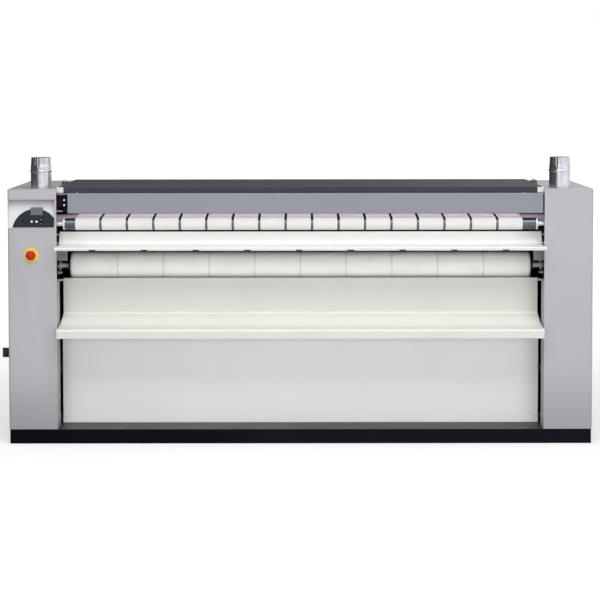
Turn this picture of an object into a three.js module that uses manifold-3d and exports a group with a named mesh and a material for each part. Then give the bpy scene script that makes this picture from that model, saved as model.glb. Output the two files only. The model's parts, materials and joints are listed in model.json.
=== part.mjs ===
// Flatwork ironer: a heated cylinder between two cabinets, with feed belts in front and ironing
// belts wrapped round its back. Millimetres, +Z up, the operator stands on the -Y side.
// The origin is the centre of the plinth's underside.
import * as THREE from "three";
import { mergeVertices } from "three/addons/utils/BufferGeometryUtils.js";
import Module from "manifold-3d";

const wasm = await Module();
wasm.setup();

// Overall sizes
const machineWidth = 2630;
const machineDepth = 750;
const cabinetTop = 1150; // above the floor
const cabinetWidth = 219;
const cabinetCorner = 10; // radius of the cabinets' outer upright edges
const plinthHeight = 65;
const plinthInset = 4; // from the cabinets' outer sides
const plinthDeck = 5;
const plinthRib = 46;
const plinthBayWidth = 216; // about, between two ribs
const sheet = 2; // folded covers, trays and panels
const framePlate = 6;
const frameSetback = 24; // the frames stand this far outside the cabinets' inner edges
const frameFrontGap = 12; // behind the covers' fronts
const notchGap = 10; // between the frames and the console's pan
const notchRise = 3; // the notch ends this far above the console
const notchSlope = 6; // and runs out over this height
const notchFoot = 20; // above the feed roller's boss
const notchFootSlope = 22;
const seam = 0.3; // gap between pieces that rest on each other
const bearingGap = 0.5; // round a shaft in its bearing
const bite = 1; // how far joined pieces and cuts run past the faces that they meet
const holeCut = 20; // length of the cut for a hole in a cover

// Heated cylinder and what turns round it; angles are seen from the right, 0 towards the rear
const cylinderRadius = 165;
const cylinderInset = 34; // its ends, in from the cabinets' inner edges
const cylinderBevel = 4;
const cylinderDrop = 222; // its axis below the top of the cabinets
const cylinderFromRear = 330; // its axis in front of the rear
const journalRadius = 40;
const ironingBelt = 3; // thickness
const ironingBeltCount = 10;
const ironingBeltMargin = 5; // between the outer belts and the return roller's flanges
const ironingBeltGap = 4;
const beltClearance = 0.4; // between a belt and the roller it runs on
const entryRadius = 22;
const entryAngle = 127.7;
const entryNip = 6; // left between the cylinder and the belt on the entry roller
const returnRadius = 57;
const returnAngle = 218.1;
const returnNip = 8;
const rearRadius = 30;
const lowerRearAngle = -44.7;
const lowerRearReach = 159; // its axis outside the cylinder's skin
const upperRearAngle = 31;
const upperRearReach = 92;
const guideInset = 38; // the guide rollers' ends, in from the cabinets' inner edges
const guideShaft = 12; // radius
const returnInset = 41;
const returnFlange = 6; // height over the roller
const returnFlangeWidth = 5;
const returnStep = 12; // the end plate behind the flange is this much smaller than the roller
const returnPlate = 7;
const shaftCollar = 12; // height over the shaft
const shaftCollarWidth = 6;
const shaftCollarInset = 14; // its inner face from the frame

// Feed end
const feedBelt = 2;
const feedBeltCount = 17;
const feedBeltGap = 11;
const feedBareLeft = 50.5; // of the feed roller, beside the belts
const feedBareRight = 64.5;
const nipRadius = 22;
const nipAngle = 156.9;
const nipGap = 12;
const feedRadius = 25;
const feedDepth = 40; // axis behind the cabinets' fronts
const feedDrop = 15; // below the nip roller's axis
const feedInset = 27; // its ends, in from the cabinets' inner edges
const feedShaft = 10; // radius

// Trays
const shelfClearance = 15; // below the feed belts
const shelfBackHeight = 57;
const shelfBackDepth = 110;
const shelfLean = 24; // how far the shelf's back leans to the rear
const shelfReach = 85; // in front of the cabinets
const shelfLip = 12;
const shelfBend = 12;
const shelfLipBend = 4;
const trayClearance = 4; // in front of the return roller's belts
const trayBackTop = 52; // below the return roller's axis
const trayBackHeight = 157;
const trayFall = 50; // from the foot of the back to the front edge
const trayReach = 83;
const trayLip = 38;
const trayLipLean = 3; // to the rear
const trayHem = 12; // turned back along the top edge
const traySweepTop = 0.13; // of the fall, where the back turns into the sweep
const traySweepFoot = 0.93; // of the fall, and
const traySweepReach = 0.55; // of the reach, where the sweep turns to the front edge
const trayHemBend = 2.5;
const trayBackBend = 20;
const traySweepBend = 150;
const trayLipBend = 5;
const trayInset = 8; // its ends, in from the cabinets' inner edges
const trayLugDrop = 5; // the lugs that carry it on the frames, below its top
const trayLug = 8; // height

// Hood and finger guard
const hoodRise = 10; // above the cabinets
const hoodFront = 27;
const hoodDepth = 28; // its front face behind the cabinets' fronts
const hoodInset = 8; // its ends, in from the cabinets' inner edges
const hoodFaceInset = 30; // its front face's ends, beside the rests
const hoodCornerCut = 10; // depth of the notch for a rest, before and behind the face
const hoodBend = 4;
const hoodRearInset = 15;
const hoodRearRadius = 80;
const hoodTail = 25; // straight part below the rear bend
const feedSlot = 21; // between the feed belts and the guard
const guardRoll = 5; // radius of the rolled top edge
const guardHoodGap = 1; // between it and the hood's face
const guardDepth = 20;
const guardHem = 8;
const guardHemBend = 2;
const guardLeftInset = 50; // its ends, in from the cabinets' inner edges
const guardRightInset = 5;
const guardPin = 4; // radius
const tripRod = 3.5; // radius
const tripRodRise = 11; // above the guard's lower edge
const tripRodLap = 20; // along the guard

// Strippers
const stripperCount = 9;
const stripperInset = 142; // the last finger's middle, in from the cylinder's end
const stripperWidth = 30;
const stripperBar = 24; // square
const stripperAngle = 192;
const stripperReach = 70; // the bar's middle outside the cylinder's skin
const stripperTipAngle = 200;
const stripperTipGap = 1.5;
const stripperDip = 6; // how far the fingers hang below the bar
const stripperNose = 6; // bevel at their lower front edge
const stripperTip = 3; // thickness of the tip

// Lower front and rear panels
const panelTopGap = 14; // below the foot of the tray's back
const panelSetback = 4; // in front of the tray's back
const panelInset = 4; // its ends, in from the cabinets' inner edges
const panelHem = 25; // turned back along the top edge
const panelBend = 3;
const rearPanelLap = 20; // behind the hood's tail
const ventCount = 6; // slots in each of two groups
const ventWidth = 180;
const ventHeight = 8;
const ventPitch = 26;
const ventOffset = 560; // a group's middle from the machine's middle
const ventTop = 335; // below the rear panel's top edge

// Cabinet flanges and console
const flangeGap = 69; // between the lower part, below the tray's back, and the lower panel
const shortFlange = 12; // upper part
const consoleTopDrop = 46;
const consoleLip = 8; // height of the overhang
const consoleBend = 5;
const consoleHeight = 127;
const consoleDepth = 28;
const consoleLeft = 5; // rim left beside the recess at the outer edge
const consoleRight = 8; // and at the inner edge
const keyWindowSide = 12; // round the keys' middles
const keyWindowEnd = 11;
const fasciaThickness = 3;
const fasciaRadius = 103;
const fasciaCentre = 94; // in from the cabinet's inner edge
const fasciaDrop = 16.5; // the arc's middle below the console's foot
const fasciaFoot = 1.5;
const fasciaMargin = 2; // to the recess's inner side
const displayWidth = 54;
const displayHeight = 36;
const displayFoot = 57;
const displayThickness = 5.5;
const displayOffset = 88.5; // its middle, in from the cabinet's inner edge
const keyClearance = 0.4;
const keyFlange = 1.8; // how far a key's collar reaches under the fascia
const keyCollar = 1.5; // its thickness
const roundKeyRadius = 4.8;
const roundKeyProud = 3;
const startOffset = 110; // in from the cabinet's inner edge
const stopOffset = 88;
const roundKeyHeight = 27.7;
const ovalKeyWidth = 13;
const ovalKeyHeight = 15;
const ovalKeyProud = 1.5;
const ovalKeyOffset = 67;
const upKeyHeight = 37.5;
const downKeyHeight = 18.5;

// Emergency stop and main switch
const stopDrop = 123; // the emergency stop's middle, below the console's foot
const stopInset = 113; // in from the cabinet's inner edge
const stopPlateRadius = 33;
const stopPlate = 2.5;
const stopPlateBevel = 1;
const stopNeckRadius = 17;
const stopNeck = 8; // from the cabinet's front
const stopStem = 11; // radius
const stopBoreGap = 1; // round the stem in the cabinet's front
const stopHeadRadius = 21.5;
const stopHeadBack = 14;
const stopHeadBevel = 1.5;
const stopHeadRim = 3; // depth of the bevel
const stopHeadEdge = 8; // depth of the bevel and the rim
const stopHeadFront = 30;
const stopDome = [
  [0.8, 3], // share of the head's radius, drop below its crown
  [0.45, 0.7],
  [0, 0],
];
const stopTail = 14; // behind the cabinet's front
const stopRing = 3; // at the stem's tail, high and deep
const switchHeight = 400;
const switchDepth = 100;
const switchRadius = 22;
const switchSkirt = 12;
const switchProud = 42;
const switchGrip = 11; // thickness of the grip bar
const switchStem = 5; // radius
const switchBoreGap = 0.6; // round the stem in the cabinet's side
const switchTail = 10; // of the stem, inside the cover
const switchRing = 3; // height over the stem
const switchRingWidth = 4;

// Exhaust spigots
const ductRadius = 47;
const ductWall = 2;
const ductDepth = 90; // axis behind the cabinets' fronts
const ductInset = 78; // axis in from the cabinets' inner edges
const ductHeight = 140; // above the cabinet
const ductBelow = 90;
const ductBead = 2.5;
const ductBeadHeight = 79;
const ductBeadCrest = 1.5; // half width of the bead's crest
const ductBeadFoot = 4; // and of its foot
const ductCrimp = 1.3; // depth of the corrugations
const ductCrimpHeight = 42;
const ductCrimpStep = 6; // height of the neck below the corrugations
const ductTaper = 3;
const ductSides = 24; // even, every second side is pressed in at the crimp

// Bearings and drive
const bossLength = 24; // outside the frame plate
const bossWall = 18; // round a shaft
const shaftReach = 16; // how far a shaft enters its boss
const boreFloor = 2; // behind a shaft's end
const pulleyGap = 4; // beside the bearing boss
const pulleyWidth = 36;
const pulleyRim = 3; // thickness of each rim
const pulleyRimHeight = 9;
const cylinderPulley = 120; // radius
const motorPulley = 50;
const driveBelt = 6; // thickness
const driveBeltPlay = 1; // beside each rim
const motorAxis = 355; // above the plinth
const motorShaft = 14; // radius
const motorShaftReach = 30; // into the gearbox
const gearboxGap = 4;
const gearboxWidth = 84;
const gearboxSide = 130;
const motorRadius = 46;
const motorFin = 8;
const motorFins = 12;
const motorLength = 210;
const motorCap = 20;
const motorCapSink = 2; // how far the cap sits in the fins
const pedestalWidth = 60;
const pedestalDepth = 100;
const footPlate = 10;

// Brackets on the frames
const ledgeDrop = 27; // the hood's rests, below the hood's top
const ledgeLead = 1; // in front of the hood's face
const ledgeEnd = 3; // in front of the hood's rear bend
const bracketInset = 10; // the guard's bracket, from the guard's left end
const bracketDepth = 46; // behind the cabinets' fronts
const bracketPlate = 3;
const bracketDrop = 38; // below the console's top
const bracketRise = 22; // above it
const tabRise = 26; // the lower panel's lowest tab, its middle above the plinth
const tabDrops = [246, 36]; // the others, below the panel's top
const tabHeight = 40;
const tabThickness = 4;
const tabOverlap = 22; // behind the panel's edge

// Places worked out from the sizes above
const frontY = -machineDepth / 2;
const rearY = machineDepth / 2;
const outerSide = machineWidth / 2;
const innerEdge = outerSide - cabinetWidth;
const cylinderHalf = innerEdge - cylinderInset; // half lengths, here and below
const guideHalf = innerEdge - guideInset;
const returnHalf = innerEdge - returnInset;
const feedHalf = innerEdge - feedInset;
const panelHalf = innerEdge - panelInset;
const hoodHalf = innerEdge - hoodInset;
const hoodFaceHalf = innerEdge - hoodFaceInset;
const guardLeft = innerEdge - guardLeftInset;
const guardRight = innerEdge - guardRightInset;
const ironingBeltPitch = (2 * (returnHalf - ironingBeltMargin)) / ironingBeltCount;
const feedBeltPitch = (2 * feedHalf - feedBareLeft - feedBareRight) / feedBeltCount;
const feedBeltShift = (feedBareLeft - feedBareRight) / 2; // off centre
const stripperPitch = (2 * (cylinderHalf - stripperInset)) / (stripperCount - 1);
const frameInner = innerEdge + frameSetback;
const frameOuter = frameInner + framePlate;
const deckZ = plinthHeight + seam; // what stands on the plinth starts here
const betweenCabinets = innerEdge - seam; // half length of what fits between the cabinets
const betweenFrames = frameInner - seam;
const degree = Math.PI / 180;
const bendStep = 22.5 * degree; // one facet of a sheet's bend
const hugStep = 15 * degree; // one facet of a belt on the cylinder
const turnStep = 36 * degree; // one facet of a belt on a small roller

const cylinderAxis = new THREE.Vector2(rearY - cylinderFromRear, cabinetTop - cylinderDrop);

// A point at an angle and a distance from the cylinder's axis, as depth and height.
function roundCylinder(angle, distance) {
  const turn = angle * degree;
  return cylinderAxis
    .clone()
    .add(new THREE.Vector2(Math.cos(turn), Math.sin(turn)).multiplyScalar(distance));
}

const entryAxis = roundCylinder(entryAngle, cylinderRadius + entryNip + ironingBelt + entryRadius);
const returnAxis = roundCylinder(
  returnAngle,
  cylinderRadius + returnNip + ironingBelt + returnRadius,
);
const lowerRearAxis = roundCylinder(lowerRearAngle, cylinderRadius + lowerRearReach);
const upperRearAxis = roundCylinder(upperRearAngle, cylinderRadius + upperRearReach);
const nipAxis = roundCylinder(nipAngle, cylinderRadius + nipGap + feedBelt + nipRadius);
const feedAxis = new THREE.Vector2(frontY + feedDepth, nipAxis.y - feedDrop);
const feedTop = feedAxis.y + feedRadius + feedBelt;
const hoodTop = cabinetTop + hoodRise;
const guardHinge = new THREE.Vector2(
  frontY + guardDepth,
  hoodTop - hoodFront - guardRoll - guardHoodGap,
);
const guardFoot = feedTop + feedSlot;
const trayBackY = returnAxis.x - returnRadius - ironingBelt - trayClearance;
const trayTopZ = returnAxis.y - trayBackTop;
const trayFootZ = trayTopZ - trayBackHeight;
const panelY = trayBackY - panelSetback;
const panelTop = trayFootZ - panelTopGap;
const flangeEnd = panelY - flangeGap;
const hoodRearY = rearY - hoodRearInset;
const shelfTopZ = feedAxis.y - feedRadius - feedBelt - shelfClearance;
const shelfZ = shelfTopZ - shelfBackHeight;
const consoleTopZ = cabinetTop - consoleTopDrop;
const consoleFootZ = consoleTopZ - consoleHeight;
const slopeTopZ = consoleTopZ - consoleLip; // where the slope meets the overhang
const stopHeight = consoleFootZ - stopDrop;
const consoleSlope = Math.atan2(consoleDepth, slopeTopZ - consoleFootZ);
const pulleyX = frameOuter + bossLength + pulleyGap + pulleyWidth / 2;
const motorAxisPoint = new THREE.Vector2(cylinderAxis.x, plinthHeight + motorAxis);
const stopPlace = new THREE.Vector3(-innerEdge - stopInset, frontY, stopHeight);
const switchAxis = new THREE.Vector2(frontY + switchDepth, switchHeight);

// Shafts that the two frames carry: axis, radius, and whether the right end passes through.
const journals = [
  { axis: cylinderAxis, radius: journalRadius, through: true },
  { axis: entryAxis, radius: guideShaft },
  { axis: returnAxis, radius: guideShaft },
  { axis: lowerRearAxis, radius: guideShaft },
  { axis: upperRearAxis, radius: guideShaft },
  { axis: nipAxis, radius: feedShaft },
  { axis: feedAxis, radius: feedShaft },
];

const ironer = new THREE.Group();

// ---- Helpers ----

function paint(color, roughness, metalness = 0) {
  return new THREE.MeshStandardMaterial({ color, roughness, metalness });
}

function addMesh(name, geometry, material, parent = ironer) {
  const mesh = new THREE.Mesh(geometry, material);
  mesh.name = name;
  parent.add(mesh);
  return mesh;
}

// A closed geometry as a solid that can be joined and cut.
function toSolid(geometry) {
  const bare = geometry.index ? geometry.toNonIndexed() : geometry.clone();
  bare.deleteAttribute("normal");
  bare.deleteAttribute("uv");
  const merged = mergeVertices(bare, 1e-3);
  return new wasm.Manifold(
    new wasm.Mesh({
      numProp: 3,
      vertProperties: merged.attributes.position.array,
      triVerts: new Uint32Array(merged.index.array),
    }),
  );
}

function toGeometry(solid) {
  const mesh = solid.getMesh();
  return new THREE.BufferGeometry()
    .setAttribute("position", new THREE.BufferAttribute(mesh.vertProperties, 3))
    .setIndex(new THREE.BufferAttribute(mesh.triVerts, 1));
}

// One geometry from a first one, those joined to it and those cut out of it.
function shape3d(first, joined, cuts = []) {
  let solid = toSolid(first);
  for (const piece of joined) solid = solid.add(toSolid(piece));
  for (const piece of cuts) solid = solid.subtract(toSolid(piece));
  return toGeometry(solid);
}

// A box between two values on each axis.
function box([x0, x1], [y0, y1], [z0, z1]) {
  const geometry = new THREE.BoxGeometry(Math.abs(x1 - x0), y1 - y0, z1 - z0);
  return geometry.translate((x0 + x1) / 2, (y0 + y1) / 2, (z0 + z1) / 2);
}

// A round bar along X between two values, its axis given as depth and height.
function barX(axis, radius, x0, x1, sides = 12) {
  const geometry = new THREE.CylinderGeometry(radius, radius, Math.abs(x1 - x0), sides);
  return geometry.rotateZ(Math.PI / 2).translate((x0 + x1) / 2, axis.x, axis.y);
}

// A depth-and-height shape pushed along X between two values.
function alongX(shape, x0, x1) {
  const geometry = new THREE.ExtrudeGeometry(shape, { depth: x1 - x0, bevelEnabled: false });
  const turn = new THREE.Matrix4().makeBasis(
    new THREE.Vector3(0, 1, 0),
    new THREE.Vector3(0, 0, 1),
    new THREE.Vector3(1, 0, 0),
  );
  return geometry.applyMatrix4(turn).translate(x0, 0, 0);
}

// A width-and-height shape pushed towards the front: its back at y1, its face at y0.
function alongY(shape, y0, y1, curveSegments = 12) {
  const settings = { depth: y1 - y0, bevelEnabled: false, curveSegments };
  return new THREE.ExtrudeGeometry(shape, settings).rotateX(Math.PI / 2).translate(0, y1, 0);
}

// A line through corners [depth, height, bend radius], each bend drawn as an arc.
function bentLine(corners) {
  const points = [];
  corners.forEach(([y, z, radius = 0], i) => {
    const corner = new THREE.Vector2(y, z);
    if (!radius) {
      points.push(corner);
      return;
    }
    const back = new THREE.Vector2(...corners[i - 1]).sub(corner).normalize();
    const ahead = new THREE.Vector2(...corners[i + 1]).sub(corner).normalize();
    const half = Math.acos(back.dot(ahead)) / 2;
    const start = corner.clone().addScaledVector(back, radius / Math.tan(half));
    const middle = back.clone().add(ahead).normalize().multiplyScalar(radius / Math.sin(half));
    middle.add(corner);
    const turn = (Math.PI - 2 * half) * Math.sign(ahead.cross(back));
    const steps = Math.max(2, Math.ceil(Math.abs(turn) / bendStep));
    for (let k = 0; k <= steps; k++)
      points.push(start.clone().rotateAround(middle, (turn * k) / steps));
  });
  return points;
}

// The closed outline of a bent sheet, from the line along its middle.
function sheetOutline(line, thickness) {
  const left = [];
  const right = [];
  line.forEach((point, i) => {
    const before = line[Math.max(i - 1, 0)];
    const after = line[Math.min(i + 1, line.length - 1)];
    const into = (i ? point.clone().sub(before) : after.clone().sub(point)).normalize();
    const out = (i < line.length - 1 ? after.clone().sub(point) : into.clone()).normalize();
    const along = into.clone().add(out).normalize();
    const reach = thickness / 2 / along.dot(into);
    const across = new THREE.Vector2(-along.y, along.x).multiplyScalar(reach);
    left.push(point.clone().add(across));
    right.unshift(point.clone().sub(across));
  });
  return new THREE.Shape([...left, ...right]);
}

// A turned piece: profile points [radius, height], its axis laid along X through a point.
function turnedX(profile, axis, sides) {
  const points = profile.map(([r, h]) => new THREE.Vector2(r, h));
  return new THREE.LatheGeometry(points, sides)
    .rotateZ(-Math.PI / 2)
    .translate(0, axis.x, axis.y);
}

// The same, with its axis pointing to the front from a point on a surface.
function turnedFront(profile, origin, sides) {
  const points = profile.map(([r, h]) => new THREE.Vector2(r, h));
  return new THREE.LatheGeometry(points, sides)
    .rotateX(Math.PI)
    .translate(origin.x, origin.y, origin.z);
}

// Radius at which a faceted band clears the round body inside it.
function clearOf(radius, step) {
  return (radius + beltClearance) / Math.cos(step / 2);
}

// A belt's closed outline round wheels given anticlockwise: axis, radius of the face it runs on,
// turn +1 for wheels inside the loop or -1 outside it, and the facet's angle.
function beltOutline(wheels, thickness) {
  const signed = wheels.map((w) => w.turn * (clearOf(w.radius, w.step) + thickness / 2));
  const headings = wheels.map((wheel, i) => {
    const j = (i + 1) % wheels.length;
    const gap = wheels[j].axis.clone().sub(wheel.axis);
    return gap.angle() + Math.asin((signed[i] - signed[j]) / gap.length());
  });
  const outer = [];
  const inner = [];
  wheels.forEach((wheel, i) => {
    const start = headings[(i + wheels.length - 1) % wheels.length];
    const circle = 2 * Math.PI;
    let sweep = (headings[i] - start) % circle;
    if (wheel.turn > 0 && sweep < 0) sweep += circle;
    if (wheel.turn < 0 && sweep > 0) sweep -= circle;
    const steps = Math.max(1, Math.ceil(Math.abs(sweep) / wheel.step));
    for (let k = 0; k <= steps; k++) {
      const heading = start + (sweep * k) / steps;
      const side = new THREE.Vector2(Math.sin(heading), -Math.cos(heading));
      outer.push(wheel.axis.clone().addScaledVector(side, signed[i] + thickness / 2));
      inner.push(wheel.axis.clone().addScaledVector(side, signed[i] - thickness / 2));
    }
  });
  const shape = new THREE.Shape(outer);
  shape.holes.push(new THREE.Path(inner));
  return shape;
}

// ---- Plinth and frames ----

// Black base: a deck with skirts and cross ribs, open below.
function basePlinth() {
  const half = outerSide - plinthInset;
  const bays = 2 * Math.max(1, Math.round(half / (plinthBayWidth + plinthRib))); // even: a mid rib
  const pitch = (2 * half - plinthRib) / bays;
  const hollows = [];
  for (let i = 0; i < bays; i++) {
    const left = -half + plinthRib + i * pitch;
    hollows.push(
      box(
        [left, left + pitch - plinthRib],
        [frontY + plinthRib, rearY - plinthRib],
        [-bite, plinthHeight - plinthDeck],
      ),
    );
  }
  return shape3d(box([-half, half], [frontY, rearY], [0, plinthHeight]), [], hollows);
}

// Outline of a frame plate: notched at the front for the console.
function frameOutline() {
  const front = frontY + sheet + frameFrontGap;
  const notch = frontY + consoleDepth + notchGap;
  const notchTop = consoleTopZ + notchRise;
  const notchEnd = feedAxis.y + feedShaft + bossWall + notchFoot;
  const rear = rearY - sheet - seam;
  const top = cabinetTop - sheet - seam;
  return new THREE.Shape(
    [
      [front, deckZ],
      [rear, deckZ],
      [rear, top],
      [front, top],
      [front, notchTop + notchSlope],
      [notch, notchTop],
      [notch, notchEnd],
      [front, notchEnd - notchFootSlope],
    ].map(([y, z]) => new THREE.Vector2(y, z)),
  );
}

// Side frame: plate, bearing bosses, the hood's rest and the lower panel's tabs; side is -1 or 1.
function sideFrame(side) {
  const span = (a, b) => (side > 0 ? [a, b] : [-b, -a]);
  const bar = (axis, radius, a, b, sides) => barX(axis, radius, ...span(a, b), sides);
  const ledgeY = [frontY + hoodDepth - ledgeLead, hoodRearY - hoodRearRadius - ledgeEnd];
  const ledgeZ = hoodTop - ledgeDrop;
  const joined = [
    box(span(hoodFaceHalf, betweenCabinets), ledgeY, [ledgeZ, hoodTop - sheet - seam]),
    box(span(hoodFaceHalf, frameInner + bite), ledgeY, [ledgeZ, cabinetTop - sheet - 2 * seam]),
  ];
  const tabY = panelY + sheet / 2 + seam;
  for (const z of [plinthHeight + tabRise, ...tabDrops.map((drop) => panelTop - drop)])
    joined.push(
      box(
        span(panelHalf - tabOverlap, frameInner + bite),
        [tabY, tabY + tabThickness],
        [z - tabHeight / 2, z + tabHeight / 2],
      ),
    );
  if (side < 0)
    joined.push(
      box(
        span(guardLeft + bracketInset, frameInner + bite),
        [frontY + bracketDepth, frontY + bracketDepth + bracketPlate],
        [consoleTopZ - bracketDrop, consoleTopZ + bracketRise],
      ),
    );
  const cuts = [bar(guardHinge, guardPin + bearingGap, frameInner - bite, frameOuter + bite, 10)];
  for (const { axis, radius, through } of journals) {
    const end = frameOuter + bossLength;
    joined.push(bar(axis, radius + bossWall, frameOuter - bite, end, through ? 16 : 10));
    const depth = through && side > 0 ? end + bite : frameOuter + shaftReach + boreFloor;
    const sides = through ? 18 : 10;
    const bore = (radius + bearingGap) / Math.cos(Math.PI / sides);
    cuts.push(bar(axis, bore, frameInner - bite, depth, sides));
  }
  return shape3d(alongX(frameOutline(), ...span(frameInner, frameOuter)), joined, cuts);
}

// ---- Cabinets ----

// A cabinet's plan between its inner and outer side, the outer corners rounded.
function cabinetPlan(side, inner, outer, front, rear, radius) {
  const plan = new THREE.Shape();
  plan.moveTo(inner, front);
  plan.lineTo(outer - radius, front);
  plan.absarc(outer - radius, front + radius, radius, -Math.PI / 2, 0, false);
  plan.lineTo(outer, rear - radius);
  plan.absarc(outer - radius, rear - radius, radius, 0, Math.PI / 2, false);
  plan.lineTo(inner, rear);
  plan.closePath();
  if (side > 0) return plan;
  const mirrored = plan.getPoints(3).map((p) => new THREE.Vector2(-p.x, p.y));
  return new THREE.Shape(mirrored.reverse());
}

function prism(plan, z0, z1) {
  const settings = { depth: z1 - z0, bevelEnabled: false, curveSegments: 3 };
  return new THREE.ExtrudeGeometry(plan, settings).translate(0, 0, z0);
}

// The console's frame: at its foot, leaning back with the slope.
function consoleMatrix() {
  const lean = new THREE.Matrix4().makeRotationX(-consoleSlope);
  return lean.setPosition(-innerEdge, frontY, consoleFootZ);
}

// Recess for the controls: a bent pan and two cheeks behind a window in the front.
function consoleRecess() {
  const left = -outerSide + consoleLeft;
  const right = -innerEdge - consoleRight;
  const line = bentLine([
    [frontY + sheet / 2, consoleFootZ - bite],
    [frontY + consoleDepth + sheet / 2, slopeTopZ, consoleBend],
    [frontY + sheet / 2, consoleTopZ + bite],
  ]);
  const cheek = new THREE.Shape(line);
  const pan = alongX(sheetOutline(line, sheet), left - sheet, right + sheet);
  const cheeks = [
    alongX(cheek, left - sheet, left),
    alongX(cheek, right, right + sheet),
  ];
  const opening = box(
    [left, right],
    [frontY - bite, frontY + sheet + bite],
    [consoleFootZ, consoleTopZ],
  );
  const keyWindow = box(
    [-startOffset - keyWindowSide, -ovalKeyOffset + keyWindowSide],
    [-4 * sheet, 4 * sheet],
    [downKeyHeight - keyWindowEnd, upKeyHeight + keyWindowEnd],
  ).applyMatrix4(consoleMatrix());
  return { opening, pieces: [pan, ...cheeks], keyWindow };
}

// Cabinet cover: front, outer side, rear and top in one, with a flange along the front inner edge.
function cabinetCover(side) {
  const outer = prism(
    cabinetPlan(side, innerEdge, outerSide, frontY, rearY, cabinetCorner),
    deckZ,
    cabinetTop,
  );
  const inside = prism(
    cabinetPlan(
      side,
      innerEdge - bite,
      outerSide - sheet,
      frontY + sheet,
      rearY - sheet,
      cabinetCorner - sheet,
    ),
    deckZ - bite,
    cabinetTop - sheet,
  );
  const span = (a, b) => (side > 0 ? [a, b] : [-b, -a]);
  const flange = span(innerEdge, innerEdge + sheet);
  const joined = [
    box(flange, [frontY + bite, flangeEnd], [deckZ, trayTopZ]),
    box(flange, [frontY + bite, frontY + shortFlange], [deckZ, cabinetTop - bite]),
  ];
  let solid = toSolid(outer).subtract(toSolid(inside));
  for (const piece of joined) solid = solid.add(toSolid(piece));
  const ductBore = (ductRadius + seam) / Math.cos(Math.PI / ductSides);
  const ductHole = new THREE.CylinderGeometry(ductBore, ductBore, holeCut, ductSides)
    .rotateX(Math.PI / 2)
    .translate(side * (innerEdge + ductInset), frontY + ductDepth, cabinetTop);
  solid = solid.subtract(toSolid(ductHole));
  if (side < 0) {
    const recess = consoleRecess();
    solid = solid.subtract(toSolid(recess.opening));
    for (const piece of recess.pieces) solid = solid.add(toSolid(piece));
    solid = solid.subtract(toSolid(recess.keyWindow));
    const stopBore = stopStem + stopBoreGap;
    const stopHole = new THREE.CylinderGeometry(stopBore, stopBore, holeCut, 16).translate(
      stopPlace.x,
      stopPlace.y,
      stopPlace.z,
    );
    const switchHole = barX(
      switchAxis,
      switchStem + switchBoreGap,
      -outerSide - holeCut / 2,
      -outerSide + holeCut / 2,
    );
    solid = solid.subtract(toSolid(stopHole)).subtract(toSolid(switchHole));
  }
  return toGeometry(solid);
}

// Exhaust spigot: a sheet tube with a stop bead and a crimped, tapering mouth.
function exhaustDuct(side) {
  const foot = -ductBelow;
  const mouth = ductHeight;
  const crimpFoot = mouth - ductCrimpHeight;
  const r = ductRadius;
  const skin = [
    [r, foot],
    [r, ductBeadHeight - ductBeadFoot],
    [r + ductBead, ductBeadHeight - ductBeadCrest],
    [r + ductBead, ductBeadHeight + ductBeadCrest],
    [r, ductBeadHeight + ductBeadFoot],
    [r, crimpFoot],
    [r - (2 * ductTaper) / 3, crimpFoot + ductCrimpStep],
    [r - ductTaper, mouth],
  ];
  const bore = [
    [r - ductTaper - ductWall, mouth],
    [r - ductWall, crimpFoot - 2 * ductWall],
    [r - ductWall, foot],
    [r, foot],
  ];
  const points = [...skin, ...bore].map(([x, y]) => new THREE.Vector2(x, y));
  const geometry = new THREE.LatheGeometry(points, ductSides);
  const place = geometry.attributes.position;
  const sector = (2 * Math.PI) / ductSides;
  for (let i = 0; i < place.count; i++) {
    if (place.getY(i) < crimpFoot + ductCrimpStep / 2) continue;
    const column = Math.round(Math.atan2(place.getX(i), place.getZ(i)) / sector);
    const radius = Math.hypot(place.getX(i), place.getZ(i));
    const scale = 1 - ((Math.abs(column) % 2) * ductCrimp) / radius;
    place.setXYZ(i, place.getX(i) * scale, place.getY(i), place.getZ(i) * scale);
  }
  return geometry
    .rotateX(Math.PI / 2)
    .translate(side * (innerEdge + ductInset), frontY + ductDepth, cabinetTop);
}

// ---- Panels and trays ----

function lowerFrontPanel() {
  const line = bentLine([
    [panelY + panelHem, panelTop],
    [panelY, panelTop, panelBend],
    [panelY, deckZ],
  ]);
  return alongX(sheetOutline(line, sheet), -panelHalf, panelHalf);
}

// Receiving tray: upright back, a long concave sweep to the front and a lip turned down, hung on
// the frames by two lugs.
function receivingTray() {
  const lipY = frontY - trayReach + sheet / 2;
  const reach = trayBackY - lipY;
  const top = trayTopZ - sheet / 2;
  const line = bentLine([
    [trayBackY + trayHem, top],
    [trayBackY, top, trayHemBend],
    [trayBackY, trayFootZ - traySweepTop * trayFall, trayBackBend],
    [trayBackY - traySweepReach * reach, trayFootZ - traySweepFoot * trayFall, traySweepBend],
    [lipY, trayFootZ - trayFall, trayLipBend],
    [lipY + trayLipLean, trayFootZ - trayFall - trayLip],
  ]);
  const half = innerEdge - trayInset;
  const lugs = [-1, 1].map((side) =>
    box(
      [side * (half - trayLug), side * betweenFrames],
      [trayBackY - sheet / 2, trayBackY + sheet / 2],
      [trayTopZ - trayLugDrop - trayLug, trayTopZ - trayLugDrop],
    ),
  );
  return shape3d(alongX(sheetOutline(line, sheet), -half, half), lugs);
}

function feedShelf() {
  const lipY = frontY - shelfReach + sheet / 2;
  const line = bentLine([
    [frontY + shelfBackDepth, shelfTopZ],
    [frontY + shelfBackDepth - shelfLean, shelfZ, shelfBend],
    [lipY, shelfZ, shelfLipBend],
    [lipY, shelfZ - shelfLip],
  ]);
  return alongX(sheetOutline(line, sheet), -betweenCabinets, betweenCabinets);
}

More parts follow.
